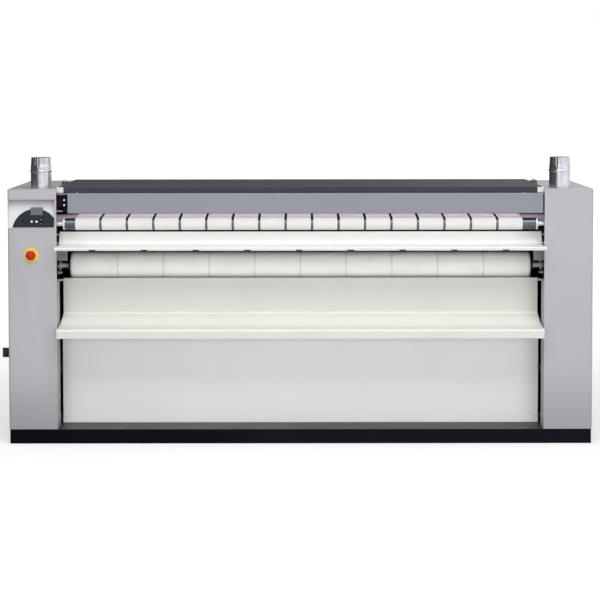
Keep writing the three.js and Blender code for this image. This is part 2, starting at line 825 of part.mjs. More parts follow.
// Hood: front face, flat top and a broad bend down at the rear; the face stops short at the rests.
function hoodCover() {
  const middle = hoodTop - sheet / 2;
  const line = bentLine([
    [frontY + hoodDepth, hoodTop - hoodFront],
    [frontY + hoodDepth, middle, hoodBend],
    [hoodRearY, middle, hoodRearRadius],
    [hoodRearY, middle - hoodRearRadius - hoodTail],
  ]);
  const sheetPiece = alongX(sheetOutline(line, sheet), -hoodHalf, hoodHalf);
  const corners = [-1, 1].map((side) =>
    box(
      [side * (hoodFaceHalf - seam), side * (hoodHalf + bite)],
      [frontY + hoodDepth - hoodCornerCut, frontY + hoodDepth + hoodCornerCut],
      [hoodTop - hoodFront - bite, hoodTop - sheet - seam / 2],
    ),
  );
  return shape3d(sheetPiece, [], corners);
}

// Rear panel with two groups of vent slots, lapped behind the hood's tail.
function rearPanel() {
  const top = hoodTop - hoodRearRadius - hoodTail + rearPanelLap;
  const y = hoodRearY - sheet - seam;
  const slots = [];
  for (const side of [-1, 1])
    for (let i = 0; i < ventCount; i++) {
      const x = side * ventOffset;
      const z = top - ventTop - i * ventPitch;
      slots.push(
        box([x - ventWidth / 2, x + ventWidth / 2], [y - sheet, y + sheet], [z - ventHeight, z]),
      );
    }
  const plate = box([-betweenFrames, betweenFrames], [y - sheet / 2, y + sheet / 2], [deckZ, top]);
  return shape3d(plate, [], slots);
}

// Bar across the mouth of the press with nine fingers that reach up to the cylinder.
function stripperAssembly() {
  const bar = roundCylinder(stripperAngle, cylinderRadius + stripperReach);
  const half = stripperBar / 2;
  const tip = roundCylinder(stripperTipAngle, cylinderRadius + stripperTipGap);
  const low = bar.y - half - stripperDip;
  const finger = new THREE.Shape(
    [
      [bar.x - half, bar.y],
      [bar.x - half, low + stripperNose],
      [bar.x - half + stripperNose, low],
      [bar.x + half, low],
      [tip.x, tip.y - stripperTip],
      [tip.x, tip.y],
      [bar.x + half, bar.y],
    ].map(([y, z]) => new THREE.Vector2(y, z)),
  );
  const joined = [];
  for (let i = 0; i < stripperCount; i++) {
    const x = (i - (stripperCount - 1) / 2) * stripperPitch;
    joined.push(alongX(finger, x - stripperWidth / 2, x + stripperWidth / 2));
  }
  const beam = box(
    [-betweenFrames, betweenFrames],
    [bar.x - half, bar.x + half],
    [bar.y - half, bar.y + half],
  );
  return shape3d(beam, joined);
}

// Guard plate with a rolled top edge, hinge pins at both ends and the trip rod at the left.
function fingerGuard() {
  const line = bentLine([
    [guardHinge.x - guardRoll + sheet / 2, guardHinge.y],
    [guardHinge.x - guardRoll + sheet / 2, guardFoot + sheet / 2, guardHemBend],
    [guardHinge.x - guardRoll + sheet / 2 + guardHem, guardFoot + sheet / 2],
  ]);
  const rodAxis = new THREE.Vector2(guardHinge.x - guardRoll + tripRod, guardFoot + tripRodRise);
  return shape3d(alongX(sheetOutline(line, sheet), -guardLeft, guardRight), [
    barX(guardHinge, guardRoll, -guardLeft, guardRight, 12),
    barX(guardHinge, guardPin, -frameOuter, frameOuter, 10),
    barX(rodAxis, tripRod, -innerEdge - bite, -guardLeft + tripRodLap, 8),
  ]);
}

// ---- Rollers, belts and drive ----

const shaftEnd = frameOuter + shaftReach;

// Plain roller between the frames.
function guideRoller(axis, radius, half, shaft, sides) {
  const profile = [
    [0, -shaftEnd],
    [shaft, -shaftEnd],
    [shaft, -half],
    [radius, -half],
    [radius, half],
    [shaft, half],
    [shaft, shaftEnd],
    [0, shaftEnd],
  ];
  return turnedX(profile, axis, sides);
}

// Profile of one end of the return roller, from its body outwards.
function returnEnd() {
  const flange = returnRadius + returnFlange;
  const flangeEnd = returnHalf + returnFlangeWidth;
  const plate = returnRadius - returnStep;
  const collarStart = frameInner - shaftCollarInset;
  const collarEnd = collarStart + shaftCollarWidth;
  return [
    [returnRadius, returnHalf],
    [flange, returnHalf],
    [flange, flangeEnd],
    [plate, flangeEnd],
    [plate, flangeEnd + returnPlate],
    [guideShaft, flangeEnd + returnPlate],
    [guideShaft, collarStart],
    [guideShaft + shaftCollar, collarStart],
    [guideShaft + shaftCollar, collarEnd],
    [guideShaft, collarEnd],
    [guideShaft, shaftEnd],
    [0, shaftEnd],
  ];
}

function returnRoller() {
  const right = returnEnd();
  const left = right.map(([r, h]) => [r, -h]).reverse();
  return turnedX([...left, ...right], returnAxis, 16);
}

// Grooved pulley's profile: both rims and the belt's seat, from its left face to its right.
function pulleyRims(radius, middle) {
  const left = middle - pulleyWidth / 2;
  const right = middle + pulleyWidth / 2;
  const rim = radius + pulleyRimHeight;
  return [
    [rim, left],
    [rim, left + pulleyRim],
    [radius, left + pulleyRim],
    [radius, right - pulleyRim],
    [rim, right - pulleyRim],
    [rim, right],
  ];
}

// Heated cylinder with its journals; the right one carries the driven pulley.
function ironingCylinder() {
  const bevel = cylinderBevel;
  const r = cylinderRadius;
  const profile = [
    [0, -shaftEnd],
    [journalRadius, -shaftEnd],
    [journalRadius, -cylinderHalf],
    [r - bevel, -cylinderHalf],
    [r, -cylinderHalf + bevel],
    [r, cylinderHalf - bevel],
    [r - bevel, cylinderHalf],
    [journalRadius, cylinderHalf],
    [journalRadius, pulleyX - pulleyWidth / 2],
    ...pulleyRims(cylinderPulley, pulleyX),
    [0, pulleyX + pulleyWidth / 2],
  ];
  return turnedX(profile, cylinderAxis, 36);
}

function motorPulleyPiece() {
  const gearbox = pulleyX + pulleyWidth / 2 + gearboxGap;
  const profile = [
    [0, pulleyX - pulleyWidth / 2],
    ...pulleyRims(motorPulley, pulleyX),
    [motorShaft, pulleyX + pulleyWidth / 2],
    [motorShaft, gearbox + motorShaftReach],
    [0, gearbox + motorShaftReach],
  ];
  return turnedX(profile, motorAxisPoint, 24);
}

function driveBeltPiece() {
  const half = pulleyWidth / 2 - pulleyRim - driveBeltPlay;
  const outline = beltOutline(
    [
      { axis: cylinderAxis, radius: cylinderPulley, turn: 1, step: hugStep },
      { axis: motorAxisPoint, radius: motorPulley, turn: 1, step: turnStep },
    ],
    driveBelt,
  );
  return alongX(outline, pulleyX - half, pulleyX + half);
}

// Gearmotor on a pedestal: worm gearbox below, finned motor upright above it.
function driveMotor() {
  const left = pulleyX + pulleyWidth / 2 + gearboxGap;
  const middle = left + gearboxWidth / 2;
  const { x: y, y: z } = motorAxisPoint;
  const side = gearboxSide / 2;
  const across = [y - side, y + side];
  const fins = new THREE.Shape();
  for (let i = 0; i < motorFins * 4; i++) {
    const angle = ((i + 0.5) / (motorFins * 4)) * 2 * Math.PI;
    const r = motorRadius + (i % 4 < 2 ? motorFin : 0);
    const point = new THREE.Vector2(Math.cos(angle), Math.sin(angle)).multiplyScalar(r);
    if (i) fins.lineTo(point.x, point.y);
    else fins.moveTo(point.x, point.y);
  }
  const motor = prism(fins, 0, motorLength).translate(middle, y, z + side - bite);
  const cap = new THREE.CylinderGeometry(motorRadius, motorRadius + motorFin, motorCap, 16)
    .rotateX(Math.PI / 2)
    .translate(middle, y, z + side + motorLength + motorCap / 2 - motorCapSink);
  const pedestal = box(
    [middle - pedestalWidth / 2, middle + pedestalWidth / 2],
    [y - pedestalDepth / 2, y + pedestalDepth / 2],
    [deckZ, z - side + bite],
  );
  const foot = box([left, left + gearboxWidth], across, [deckZ, deckZ + footPlate]);
  const bore = (motorShaft + bearingGap) / Math.cos(Math.PI / 16);
  return shape3d(
    box([left, left + gearboxWidth], across, [z - side, z + side]),
    [motor, cap, pedestal, foot],
    [barX(motorAxisPoint, bore, left - bite, left + motorShaftReach + boreFloor, 16)],
  );
}

// Ironing belts: over the entry roller, round the cylinder's back, and home over three rollers.
function ironingBeltOutline() {
  return beltOutline(
    [
      { axis: entryAxis, radius: entryRadius, turn: 1, step: turnStep },
      { axis: cylinderAxis, radius: cylinderRadius, turn: -1, step: hugStep },
      { axis: returnAxis, radius: returnRadius, turn: 1, step: turnStep },
      { axis: lowerRearAxis, radius: rearRadius, turn: 1, step: turnStep },
      { axis: upperRearAxis, radius: rearRadius, turn: 1, step: turnStep },
    ],
    ironingBelt,
  );
}

function feedBeltOutline() {
  return beltOutline(
    [
      { axis: feedAxis, radius: feedRadius, turn: 1, step: turnStep },
      { axis: nipAxis, radius: nipRadius, turn: 1, step: turnStep },
    ],
    feedBelt,
  );
}

// ---- Controls ----

function ellipse(x, z, width, height) {
  const shape = new THREE.Shape();
  shape.absellipse(x, z, width / 2, height / 2, 0, 2 * Math.PI, false);
  return shape;
}

// The four keys: place in the console's frame, size and how far they stand proud.
const keys = [
  { name: "start_button", x: -startOffset, z: roundKeyHeight, round: true },
  { name: "stop_button", x: -stopOffset, z: roundKeyHeight, round: true },
  { name: "up_key", x: -ovalKeyOffset, z: upKeyHeight, round: false },
  { name: "down_key", x: -ovalKeyOffset, z: downKeyHeight, round: false },
].map((key) => ({
  ...key,
  width: key.round ? 2 * roundKeyRadius : ovalKeyWidth,
  height: key.round ? 2 * roundKeyRadius : ovalKeyHeight,
  proud: key.round ? roundKeyProud : ovalKeyProud,
}));

const fasciaBack = -seam;
const fasciaFace = fasciaBack - fasciaThickness;

// Half-moon fascia: arc above, straight foot, cut off straight at the inner side.
function controlFascia() {
  const right = -consoleRight - fasciaMargin;
  const middle = -fasciaCentre;
  const cutHeight = Math.sqrt(fasciaRadius ** 2 - (right - middle) ** 2) - fasciaDrop;
  const footReach = Math.sqrt(fasciaRadius ** 2 - (fasciaFoot + fasciaDrop) ** 2);
  const outline = new THREE.Shape();
  outline.moveTo(right, fasciaFoot);
  outline.lineTo(right, cutHeight);
  const start = Math.atan2(cutHeight + fasciaDrop, right - middle);
  const end = Math.atan2(fasciaFoot + fasciaDrop, -footReach);
  outline.absarc(middle, -fasciaDrop, fasciaRadius, start, end, false);
  outline.closePath();
  const cuts = keys.map((key) =>
    alongY(
      ellipse(key.x, key.z, key.width + 2 * keyClearance, key.height + 2 * keyClearance),
      fasciaFace - bite,
      fasciaBack + bite,
      4,
    ),
  );
  const notch = box(
    [-displayOffset - displayWidth / 2 - seam, -displayOffset + displayWidth / 2 + seam],
    [fasciaFace - bite, fasciaBack + bite],
    [displayFoot - seam, displayFoot + displayHeight],
  );
  return shape3d(alongY(outline, fasciaFace, fasciaBack, 16), [], [...cuts, notch]);
}

function displayWindow() {
  return box(
    [-displayOffset - displayWidth / 2, -displayOffset + displayWidth / 2],
    [-seam - displayThickness, -seam],
    [displayFoot, displayFoot + displayHeight],
  );
}

// A key: its cap through the fascia and a collar behind that keeps it in.
function pushKey(key) {
  const cap = alongY(
    ellipse(key.x, key.z, key.width, key.height),
    fasciaFace - key.proud,
    fasciaBack + bite,
    4,
  );
  const collarBack = fasciaBack + seam + keyCollar;
  const collar = alongY(
    ellipse(key.x, key.z, key.width + 2 * keyFlange, key.height + 2 * keyFlange),
    fasciaBack + seam,
    collarBack,
    4,
  );
  return shape3d(cap, [collar]);
}

// Yellow plate of the emergency stop, with the neck that guides the button.
function stopCollar() {
  const bore = (stopStem + bearingGap) / Math.cos(Math.PI / 18);
  const profile = [
    [bore, seam],
    [stopPlateRadius, seam],
    [stopPlateRadius, seam + stopPlate - stopPlateBevel],
    [stopPlateRadius - stopPlateBevel, seam + stopPlate],
    [stopNeckRadius, seam + stopPlate],
    [stopNeckRadius, stopNeck],
    [bore, stopNeck],
    [bore, seam],
  ];
  return turnedFront(profile, stopPlace, 18);
}

// Mushroom button: tail ring inside the cabinet, stem through the neck, domed head.
function stopButton() {
  const profile = [
    [0, -stopTail],
    [stopStem + stopRing, -stopTail],
    [stopStem + stopRing, -stopTail + stopRing],
    [stopStem, -stopTail + stopRing],
    [stopStem, stopHeadBack],
    [stopHeadRadius - stopHeadBevel, stopHeadBack],
    [stopHeadRadius, stopHeadBack + stopHeadRim],
    [stopHeadRadius, stopHeadBack + stopHeadEdge],
    ...stopDome.map(([share, drop]) => [share * stopHeadRadius, stopHeadFront - drop]),
  ];
  return turnedFront(profile, stopPlace, 18);
}

// Rotary main switch: round skirt, grip bar across it and a stem through the cabinet's side.
function switchKnob() {
  const back = -outerSide - bearingGap;
  const face = -outerSide - switchProud;
  const gripFoot = back - switchSkirt + bite;
  const keep = box(
    [face - bite, gripFoot],
    [switchAxis.x - switchGrip / 2, switchAxis.x + switchGrip / 2],
    [switchAxis.y - switchRadius - bite, switchAxis.y + switchRadius + bite],
  );
  const grip = toSolid(barX(switchAxis, switchRadius, face, gripFoot, 20)).intersect(toSolid(keep));
  const inside = -outerSide + sheet;
  const ring = inside + bite;
  return toGeometry(
    grip
      .add(toSolid(barX(switchAxis, switchRadius, back - switchSkirt, back, 20)))
      .add(toSolid(barX(switchAxis, switchStem, back - bite, inside + switchTail, 10)))
      .add(toSolid(barX(switchAxis, switchStem + switchRing, ring, ring + switchRingWidth, 10))),
  );
}

// ---- Assembly ----

addMesh("base_plinth", basePlinth(), paint("#14161f", 0.55));
for (const [word, side] of [
  ["left", -1],
  ["right", 1],
]) {
  addMesh(`${word}_side_frame`, sideFrame(side), paint("#3a3438", 0.5, 0.3));
  addMesh(`${word}_cabinet_cover`, cabinetCover(side), paint("#b6b5ba", 0.45));
  addMesh(`${word}_exhaust_duct`, exhaustDuct(side), paint("#a9aeb4", 0.35, 0.9));
}
addMesh("lower_front_panel", lowerFrontPanel(), paint("#d8d8d9", 0.5));
addMesh("receiving_tray", receivingTray(), paint("#eeeee6", 0.4));
addMesh("feed_shelf", feedShelf(), paint("#f2f2ee", 0.4));
addMesh("hood_cover", hoodCover(), paint("#4c4a51", 0.6));
addMesh("rear_panel", rearPanel(), paint("#b0afb4", 0.5));
addMesh("stripper_bar", stripperAssembly(), paint("#17171a", 0.6));
addMesh("finger_guard", fingerGuard(), paint("#9b9eaa", 0.4));
addMesh("ironing_cylinder", ironingCylinder(), paint("#c9c9cc", 0.2, 1));
addMesh("return_roller", returnRoller(), paint("#a8a8a6", 0.35, 0.8));
addMesh(
  "feed_roller",
  guideRoller(feedAxis, feedRadius, feedHalf, feedShaft, 16),
  paint("#8d8f96", 0.35, 0.8),
);
addMesh(
  "nip_roller",
  guideRoller(nipAxis, nipRadius, guideHalf, feedShaft, 16),
  paint("#8d8f96", 0.35, 0.8),
);
for (const [name, axis, radius] of [
  ["entry_roller", entryAxis, entryRadius],
  ["lower_rear_roller", lowerRearAxis, rearRadius],
  ["upper_rear_roller", upperRearAxis, rearRadius],
])
  addMesh(
    name,
    guideRoller(axis, radius, guideHalf, guideShaft, 16),
    paint("#8d8f96", 0.35, 0.8),
  );
for (let i = 0; i < ironingBeltCount; i++) {
  const x = (i - (ironingBeltCount - 1) / 2) * ironingBeltPitch;
  const half = (ironingBeltPitch - ironingBeltGap) / 2;
  const name = `ironing_belt_${String(i + 1).padStart(2, "0")}`;
  addMesh(name, alongX(ironingBeltOutline(), x - half, x + half), paint("#e1e1dd", 0.9));
}
for (let i = 0; i < feedBeltCount; i++) {
  const x = (i - (feedBeltCount - 1) / 2) * feedBeltPitch + feedBeltShift;
  const half = (feedBeltPitch - feedBeltGap) / 2;
  const name = `feed_belt_${String(i + 1).padStart(2, "0")}`;
  addMesh(name, alongX(feedBeltOutline(), x - half, x + half), paint("#f2f0ef", 0.9));
}
addMesh("drive_motor", driveMotor(), paint("#5a6670", 0.5, 0.2));
addMesh("motor_pulley", motorPulleyPiece(), paint("#7d7f84", 0.4, 0.8));
addMesh("drive_belt", driveBeltPiece(), paint("#1c1c1e", 0.8));

const consoleGroup = new THREE.Group();
consoleGroup.applyMatrix4(consoleMatrix());
ironer.add(consoleGroup);
addMesh("control_fascia", controlFascia(), paint("#2b3238", 0.35), consoleGroup);
addMesh("display_window", displayWindow(), paint("#787a78", 0.25), consoleGroup);
for (const key of keys)
  addMesh(key.name, pushKey(key), paint(key.round ? "#f0f0ee" : "#20262a", 0.4), consoleGroup);
addMesh("estop_collar", stopCollar(), paint("#efd076", 0.4));
addMesh("estop_button", stopButton(), paint("#c83a41", 0.3));
addMesh("switch_knob", switchKnob(), paint("#1d1e21", 0.45));

export default ironer;
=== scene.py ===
# Flatwork ironer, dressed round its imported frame. Metres, +Z up, the operator stands on the -Y side.
import json
import math

import bmesh
import bpy
from mathutils import Matrix, Vector

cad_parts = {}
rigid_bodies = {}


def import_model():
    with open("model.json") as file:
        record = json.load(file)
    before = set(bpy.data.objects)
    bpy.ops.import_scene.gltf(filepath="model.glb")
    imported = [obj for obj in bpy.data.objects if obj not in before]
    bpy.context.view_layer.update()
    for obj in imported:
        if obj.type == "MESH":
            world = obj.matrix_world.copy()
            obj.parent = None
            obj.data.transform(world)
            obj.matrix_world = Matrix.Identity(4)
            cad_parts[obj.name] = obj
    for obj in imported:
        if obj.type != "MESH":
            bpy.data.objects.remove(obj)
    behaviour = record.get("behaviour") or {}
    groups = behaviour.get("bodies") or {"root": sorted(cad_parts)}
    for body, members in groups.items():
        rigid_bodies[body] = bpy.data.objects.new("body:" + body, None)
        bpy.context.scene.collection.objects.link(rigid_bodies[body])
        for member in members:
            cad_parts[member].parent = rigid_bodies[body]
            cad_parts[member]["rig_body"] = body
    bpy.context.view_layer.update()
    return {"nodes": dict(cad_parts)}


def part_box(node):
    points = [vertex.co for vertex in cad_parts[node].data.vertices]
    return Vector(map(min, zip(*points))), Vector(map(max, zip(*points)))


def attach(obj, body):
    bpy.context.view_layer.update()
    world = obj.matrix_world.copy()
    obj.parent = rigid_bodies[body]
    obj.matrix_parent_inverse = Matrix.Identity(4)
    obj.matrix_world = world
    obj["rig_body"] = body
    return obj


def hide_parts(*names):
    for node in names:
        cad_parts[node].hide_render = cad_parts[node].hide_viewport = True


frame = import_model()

scene = bpy.context.scene
mm = 0.001
print("frame loaded:", len(frame["nodes"]), "nodes")


# Nodes and colours

def colour(hexCode):
    # sRGB hex to linear RGBA
    parts = [int(hexCode[i:i + 2], 16) / 255 for i in (0, 2, 4)]
    return [c / 12.92 if c <= 0.04045 else ((c + 0.055) / 1.055) ** 2.4 for c in parts] + [1.0]


def addNode(tree, kind, inputs=None, **settings):
    # inputs holds a value or another node's output for each socket, by name or number
    node = tree.nodes.new("ShaderNode" + kind)
    for name, value in settings.items():
        setattr(node, name, value)
    for name, value in (inputs or {}).items():
        if isinstance(value, bpy.types.NodeSocket):
            tree.links.new(value, node.inputs[name])
        else:
            node.inputs[name].default_value = value
    return node


def newMaterial(name):
    material = bpy.data.materials.new(name)
    material.use_nodes = True
    material.node_tree.nodes.clear()
    return material, material.node_tree


def finishMaterial(tree, baseColour, roughness, height=None, bumpDepth=0.0, **sockets):
    # the surface shader with its uniform values on its own sockets; bumpDepth in metres
    inputs = {"Base Color": baseColour, "Roughness": roughness, **sockets}
    if height is not None:
        bump = addNode(tree, "Bump", {"Height": height, "Distance": bumpDepth, "Strength": 1.0})
        inputs["Normal"] = bump.outputs["Normal"]
    shader = addNode(tree, "BsdfPrincipled", inputs)
    addNode(tree, "OutputMaterial", {"Surface": shader.outputs["BSDF"]})


def mottle(tree, vector, size, low, high, detail=3.0, stretch=(1, 1, 1)):
    # a soft noise of about that size in metres, whose usual range 0.3 to 0.7 is brought to low and high
    place = addNode(tree, "Mapping", {"Vector": vector, "Scale": stretch})
    noise = addNode(tree, "TexNoise", {"Vector": place.outputs[0], "Scale": 1 / size, "Detail": detail})
    spread = addNode(tree, "MapRange", {0: noise.outputs["Fac"], 1: 0.3, 2: 0.7, 3: low, 4: high})
    return spread.outputs[0]


def tinted(tree, factor, first, second):
    # the first colour, or node's colour, for factor 0, the second for 1, and mixes between them
    first = colour(first) if isinstance(first, str) else first
    mix = addNode(tree, "Mix", {"Factor": factor, "A": first, "B": colour(second)}, data_type="RGBA")
    return mix.outputs[2]


def maths(tree, operation, *values):
    return addNode(tree, "Math", dict(enumerate(values)), operation=operation).outputs[0]


def objectPlace(tree):
    return addNode(tree, "TexCoord").outputs["Object"]


# Painted and coated sheet steel

coating = {"patch": 0.35, "glossPatch": 0.12}  # metres over which tone and gloss drift


def powderCoat(name, hexCode, shadeCode, roughness, grain=2.4 * mm, depth=0.05 * mm, shine=0.5,
               paintedShadeByHeight=None, level=None):
    # polyester powder, sprayed and baked: an even satin skin with a fine orange peel that breaks up
    # highlights. The real peel is about 1 mm across; it is drawn coarser so that it shows.
    # the ramp by height is (tone, from height, to height): painted shade, darker towards a cabinet's
    # foot and under the recess's upper edge; level is (tone, from, to) by how far a face looks up:
    # painted light, lighter on the faces that look up
    material, tree = newMaterial(name)
    place = objectPlace(tree)
    patches = mottle(tree, place, coating["patch"], 0, 1)
    skin = tinted(tree, patches, hexCode, shadeCode)
    upward = addNode(tree, "NewGeometry").outputs["Normal"]
    # painted shade by height, then painted light by how far a face looks up, each a ramp to a tone
    for paintedLightAndShade, vector in ((paintedShadeByHeight, place), (level, upward)):
        if paintedLightAndShade:
            tone, start, end = paintedLightAndShade
            height = addNode(tree, "SeparateXYZ", {0: vector})
            share = addNode(tree, "MapRange", {0: height.outputs["Z"], 1: start, 2: end},
                            interpolation_type="SMOOTHSTEP")
            skin = tinted(tree, share.outputs[0], skin, tone)
    peel = addNode(tree, "TexNoise", {"Vector": place, "Scale": 1 / grain, "Detail": 1.0})
    gloss = mottle(tree, place, coating["glossPatch"], roughness - 0.04, roughness + 0.05)
    finishMaterial(tree, skin, gloss, peel.outputs["Fac"], depth, **{"Specular IOR Level": shine})
    return material


# painted shade darkens the cabinets towards the floor, and painted light lightens their tops
cabinetPowder = powderCoat("cabinetGreyPowderCoat", "A6A5AA", "A2A1A6", 0.38,
                           paintedShadeByHeight=("919095", 0.38, 0.06), level=("C2C1C6", 0.5, 0.9))
# painted light lightens the recess for its slope; painted shade darkens it under the upper edge
recessPaintedLightPowder = powderCoat("consoleRecessPaintedLightPowderCoat", "D0CFD4", "CCCBD0", 0.36,
                          paintedShadeByHeight=("A9A8AD", 1.04, 1.1))
rearPowder = powderCoat("rearPanelPowderCoat", "B4B3B9", "AEADB3", 0.45)
# painted light on tray and shelf: faces that look up are lighter, upright backs and lips darker
trayPowder = powderCoat("trayWhitePowderCoat", "CFCFCA", "CBCBC6", 0.33, level=("F6F6EE", 0.15, 0.75))
shelfPowder = powderCoat("shelfWhitePowderCoat", "C8C8C9", "C5C5C6", 0.33, level=("F6F6F2", 0.12, 0.36))
panelPowder = powderCoat("lowerPanelPowderCoat", "E2E2E3", "DEDEDF", 0.36)
guardPowder = powderCoat("guardBluePowderCoat", "7C808A", "787C87", 0.36)
# painted light: the hood's top is lighter than its front face
hoodPowder = powderCoat("hoodCharcoalPowderCoat", "39373E", "343238", 0.55, 3.2 * mm, 0.12 * mm, 0.2,
                        level=("4D4A52", 0.4, 0.9))
restPowder = powderCoat("restLightPowderCoat", "CFCED2", "C6C5CA", 0.4)
framePaint = powderCoat("frameDarkPaint", "1E171C", "181318", 0.55, shine=0.3)
bracketPaint = powderCoat("bracketPlumPaint", "2A0822", "22061B", 0.5, shine=0.1)
latchPaint = powderCoat("latchBlackPaint", "0A0709", "070506", 0.6, shine=0.1)
tablePowder = powderCoat("sideTableLilacPowderCoat", "B9B0BA", "B1A8B3", 0.4)
motorEnamel = powderCoat("motorGreyEnamel", "59646E", "4F5963", 0.45)
# stoved gloss enamel flows out smoother than powder: a wide, shallow peel
plinthEnamel = powderCoat("plinthBlackEnamel", "080B15", "05070E", 0.5, 6 * mm, 0.04 * mm, 0.08)
# painted light: the deck tone makes the plinth's upper faces lighter than its black front
deckEnamel = powderCoat("plinthDeckPaintedLightEnamel", "3A393E", "323136", 0.45, 6 * mm, 0.04 * mm, 0.3)


# Bare metals

zinc = {"crystal": 9 * mm, "drawn": 0.35, "streak": 26 * mm, "streakDrawn": 0.02, "streakShare": 0.82,
        "gloss": (0.24, 0.36),
        "tones": ((0.2, "ABADB4"), (0.45, "C4C3CB"), (0.6, "D4D2D9"), (0.85, "E6E5EC"))}
lathe = {"ring": 7.54 * mm, "stain": 18 * mm, "glossPatch": 6 * mm}


def galvanisedSteel():
    # hot-dip zinc on rolled sheet: crystals 6 to 15 mm across, each with its own gloss, drawn out along
    # the tube by the rolling
    material, tree = newMaterial("galvanisedRolledSteel")
    place = objectPlace(tree)
    squeezed = addNode(tree, "Mapping", {"Vector": place, "Scale": (1, 1, zinc["drawn"])})
    spangle = addNode(tree, "TexVoronoi", {"Vector": squeezed.outputs[0], "Scale": 1 / zinc["crystal"]})
    # vertical streaks along the tube: partly the zinc's own streakiness, partly painted reflection
    # bands
    streak = mottle(tree, place, zinc["streak"], 0, 1, 1.5, (1, 1, zinc["streakDrawn"]))
    grey = addNode(tree, "SeparateColor", {0: spangle.outputs["Color"]})
    blend = addNode(tree, "Mix", {"Factor": zinc["streakShare"], 2: grey.outputs[0], 3: streak})
    ramp = addNode(tree, "ValToRGB", {0: blend.outputs[0]})
    for position, code in zinc["tones"]:
        stop = ramp.color_ramp.elements.new(position)
        stop.color = colour(code)
    ramp.color_ramp.elements.remove(ramp.color_ramp.elements[0])
    ramp.color_ramp.elements.remove(ramp.color_ramp.elements[-1])
    smooth, rough = zinc["gloss"]
    gloss = addNode(tree, "MapRange", {0: grey.outputs[1], 3: smooth, 4: rough})
    finishMaterial(tree, ramp.outputs[0], gloss.outputs[0], spangle.outputs["Distance"], 0.05 * mm,
                   Metallic=1.0)
    return material


def turnedSteel(name, hexCode, darkCode, roughness, metal=1.0):
    # steel turned on a lathe: rings of tool marks round the axis, finer than a millimetre but drawn
    # 7.5 mm apart so that they show, which stretch highlights along the bar. metal under 1 is for
    # plating with a milky bloom
    material, tree = newMaterial(name)
    place = objectPlace(tree)
    bands = math.tau / 20 / lathe["ring"]  # the wave texture makes 20 / tau bands a unit
    rings = addNode(tree, "TexWave", {"Vector": place, "Scale": bands, "Distortion": 1.5,
                                      "Detail": 2.0}, bands_direction="X")
    stain = mottle(tree, place, lathe["stain"], 0, 1)
    gloss = mottle(tree, place, lathe["glossPatch"], roughness - 0.06, roughness + 0.08)
    finishMaterial(tree, tinted(tree, stain, hexCode, darkCode), gloss, rings.outputs["Fac"], 0.02 * mm,
                   Metallic=metal)
    return material


ductSteel = galvanisedSteel()
rollerSteel = turnedSteel("turnedRollerSteel", "666A72", "5B5F67", 0.36)
polishedSteel = turnedSteel("groundCylinderSteel", "D5D6D8", "C4C5C9", 0.16)
zincPlate = turnedSteel("zincPlatedScrewSteel", "DCDDE0", "C2C4C8", 0.3, 0.35)
dullZinc = turnedSteel("dullZincBracketSteel", "9B9C9F", "85878A", 0.5, 0.2)
returnSteel = turnedSteel("brightReturnRollerSteel", "DDDEDE", "CFD0D1", 0.4, 0.2)
pulleyIron = turnedSteel("turnedPulleyIron", "85878C", "6D6F74", 0.38)


# Belts: cloth and rubber

cloth = {"weave": 0.35, "patch": 90 * mm}  # the weave's share of the height, the rest is fluff


def wovenBelt(name, hexCode, shadeCode, thread):
    # heat-proof polyester yarn, plain weave, needled to a dry matt face: a small grid of over and
    # under, softened by fluff. The yarn is about 1.5 mm apart and is drawn at the given spacing
    material, tree = newMaterial(name)
    place = objectPlace(tree)
    turn = addNode(tree, "SeparateXYZ", {0: place})
    across = maths(tree, "MULTIPLY", turn.outputs["X"], math.tau / thread)
    climb = maths(tree, "ADD", turn.outputs["Z"], turn.outputs["Y"])
    along = maths(tree, "MULTIPLY", climb, math.tau / thread)
    weave = maths(tree, "MULTIPLY", maths(tree, "SINE", across), maths(tree, "SINE", along))
    fluff = addNode(tree, "TexNoise", {"Vector": place, "Scale": 1 / (2 * thread), "Detail": 4.0})
    height = maths(tree, "MULTIPLY_ADD", weave, cloth["weave"], fluff.outputs["Fac"])
    patches = mottle(tree, place, cloth["patch"], 0, 1, 4.0)
    finishMaterial(tree, tinted(tree, patches, hexCode, shadeCode), 0.9, height, 0.35 * mm,
                   **{"Sheen Weight": 0.25, "Sheen Roughness": 0.5, "Specular IOR Level": 0.25})
    return material


feedCloth = wovenBelt("wovenPolyesterFeedBelt", "D8D6D7", "D2D0D1", 3 * mm)
ironingCloth = wovenBelt("needledAramidIroningBelt", "F5F5EF", "EDEDE6", 4 * mm)


def mouldedRubber():
    # vulcanised rubber: black, dull, dusted grey where it has run
    material, tree = newMaterial("mouldedDriveRubber")
    place = objectPlace(tree)
    dust = mottle(tree, place, 40 * mm, 0, 1)
    grain = addNode(tree, "TexNoise", {"Vector": place, "Scale": 1 / (3 * mm)})
    finishMaterial(tree, tinted(tree, dust, "18181A", "26262A"), 0.75, grain.outputs["Fac"], 0.1 * mm)
    return material


driveRubber = mouldedRubber()


# Plastics

plastic = {"patch": 20 * mm, "glossPatch": 12 * mm}


def mouldedPlastic(name, hexCode, shadeCode, roughness, grain=1.6 * mm, depth=0.04 * mm, shine=0.5):
    # injection moulded: even colour, a faint spark-eroded grain and slow changes of gloss
    material, tree = newMaterial(name)
    place = objectPlace(tree)
    patches = mottle(tree, place, plastic["patch"], 0, 1)
    texture = addNode(tree, "TexNoise", {"Vector": place, "Scale": 1 / grain, "Detail": 2.0})
    gloss = mottle(tree, place, plastic["glossPatch"], roughness - 0.05, roughness + 0.05)
    skin = tinted(tree, patches, hexCode, shadeCode)
    finishMaterial(tree, skin, gloss, texture.outputs["Fac"], depth,
                   **{"IOR": 1.53, "Specular IOR Level": shine})
    return material


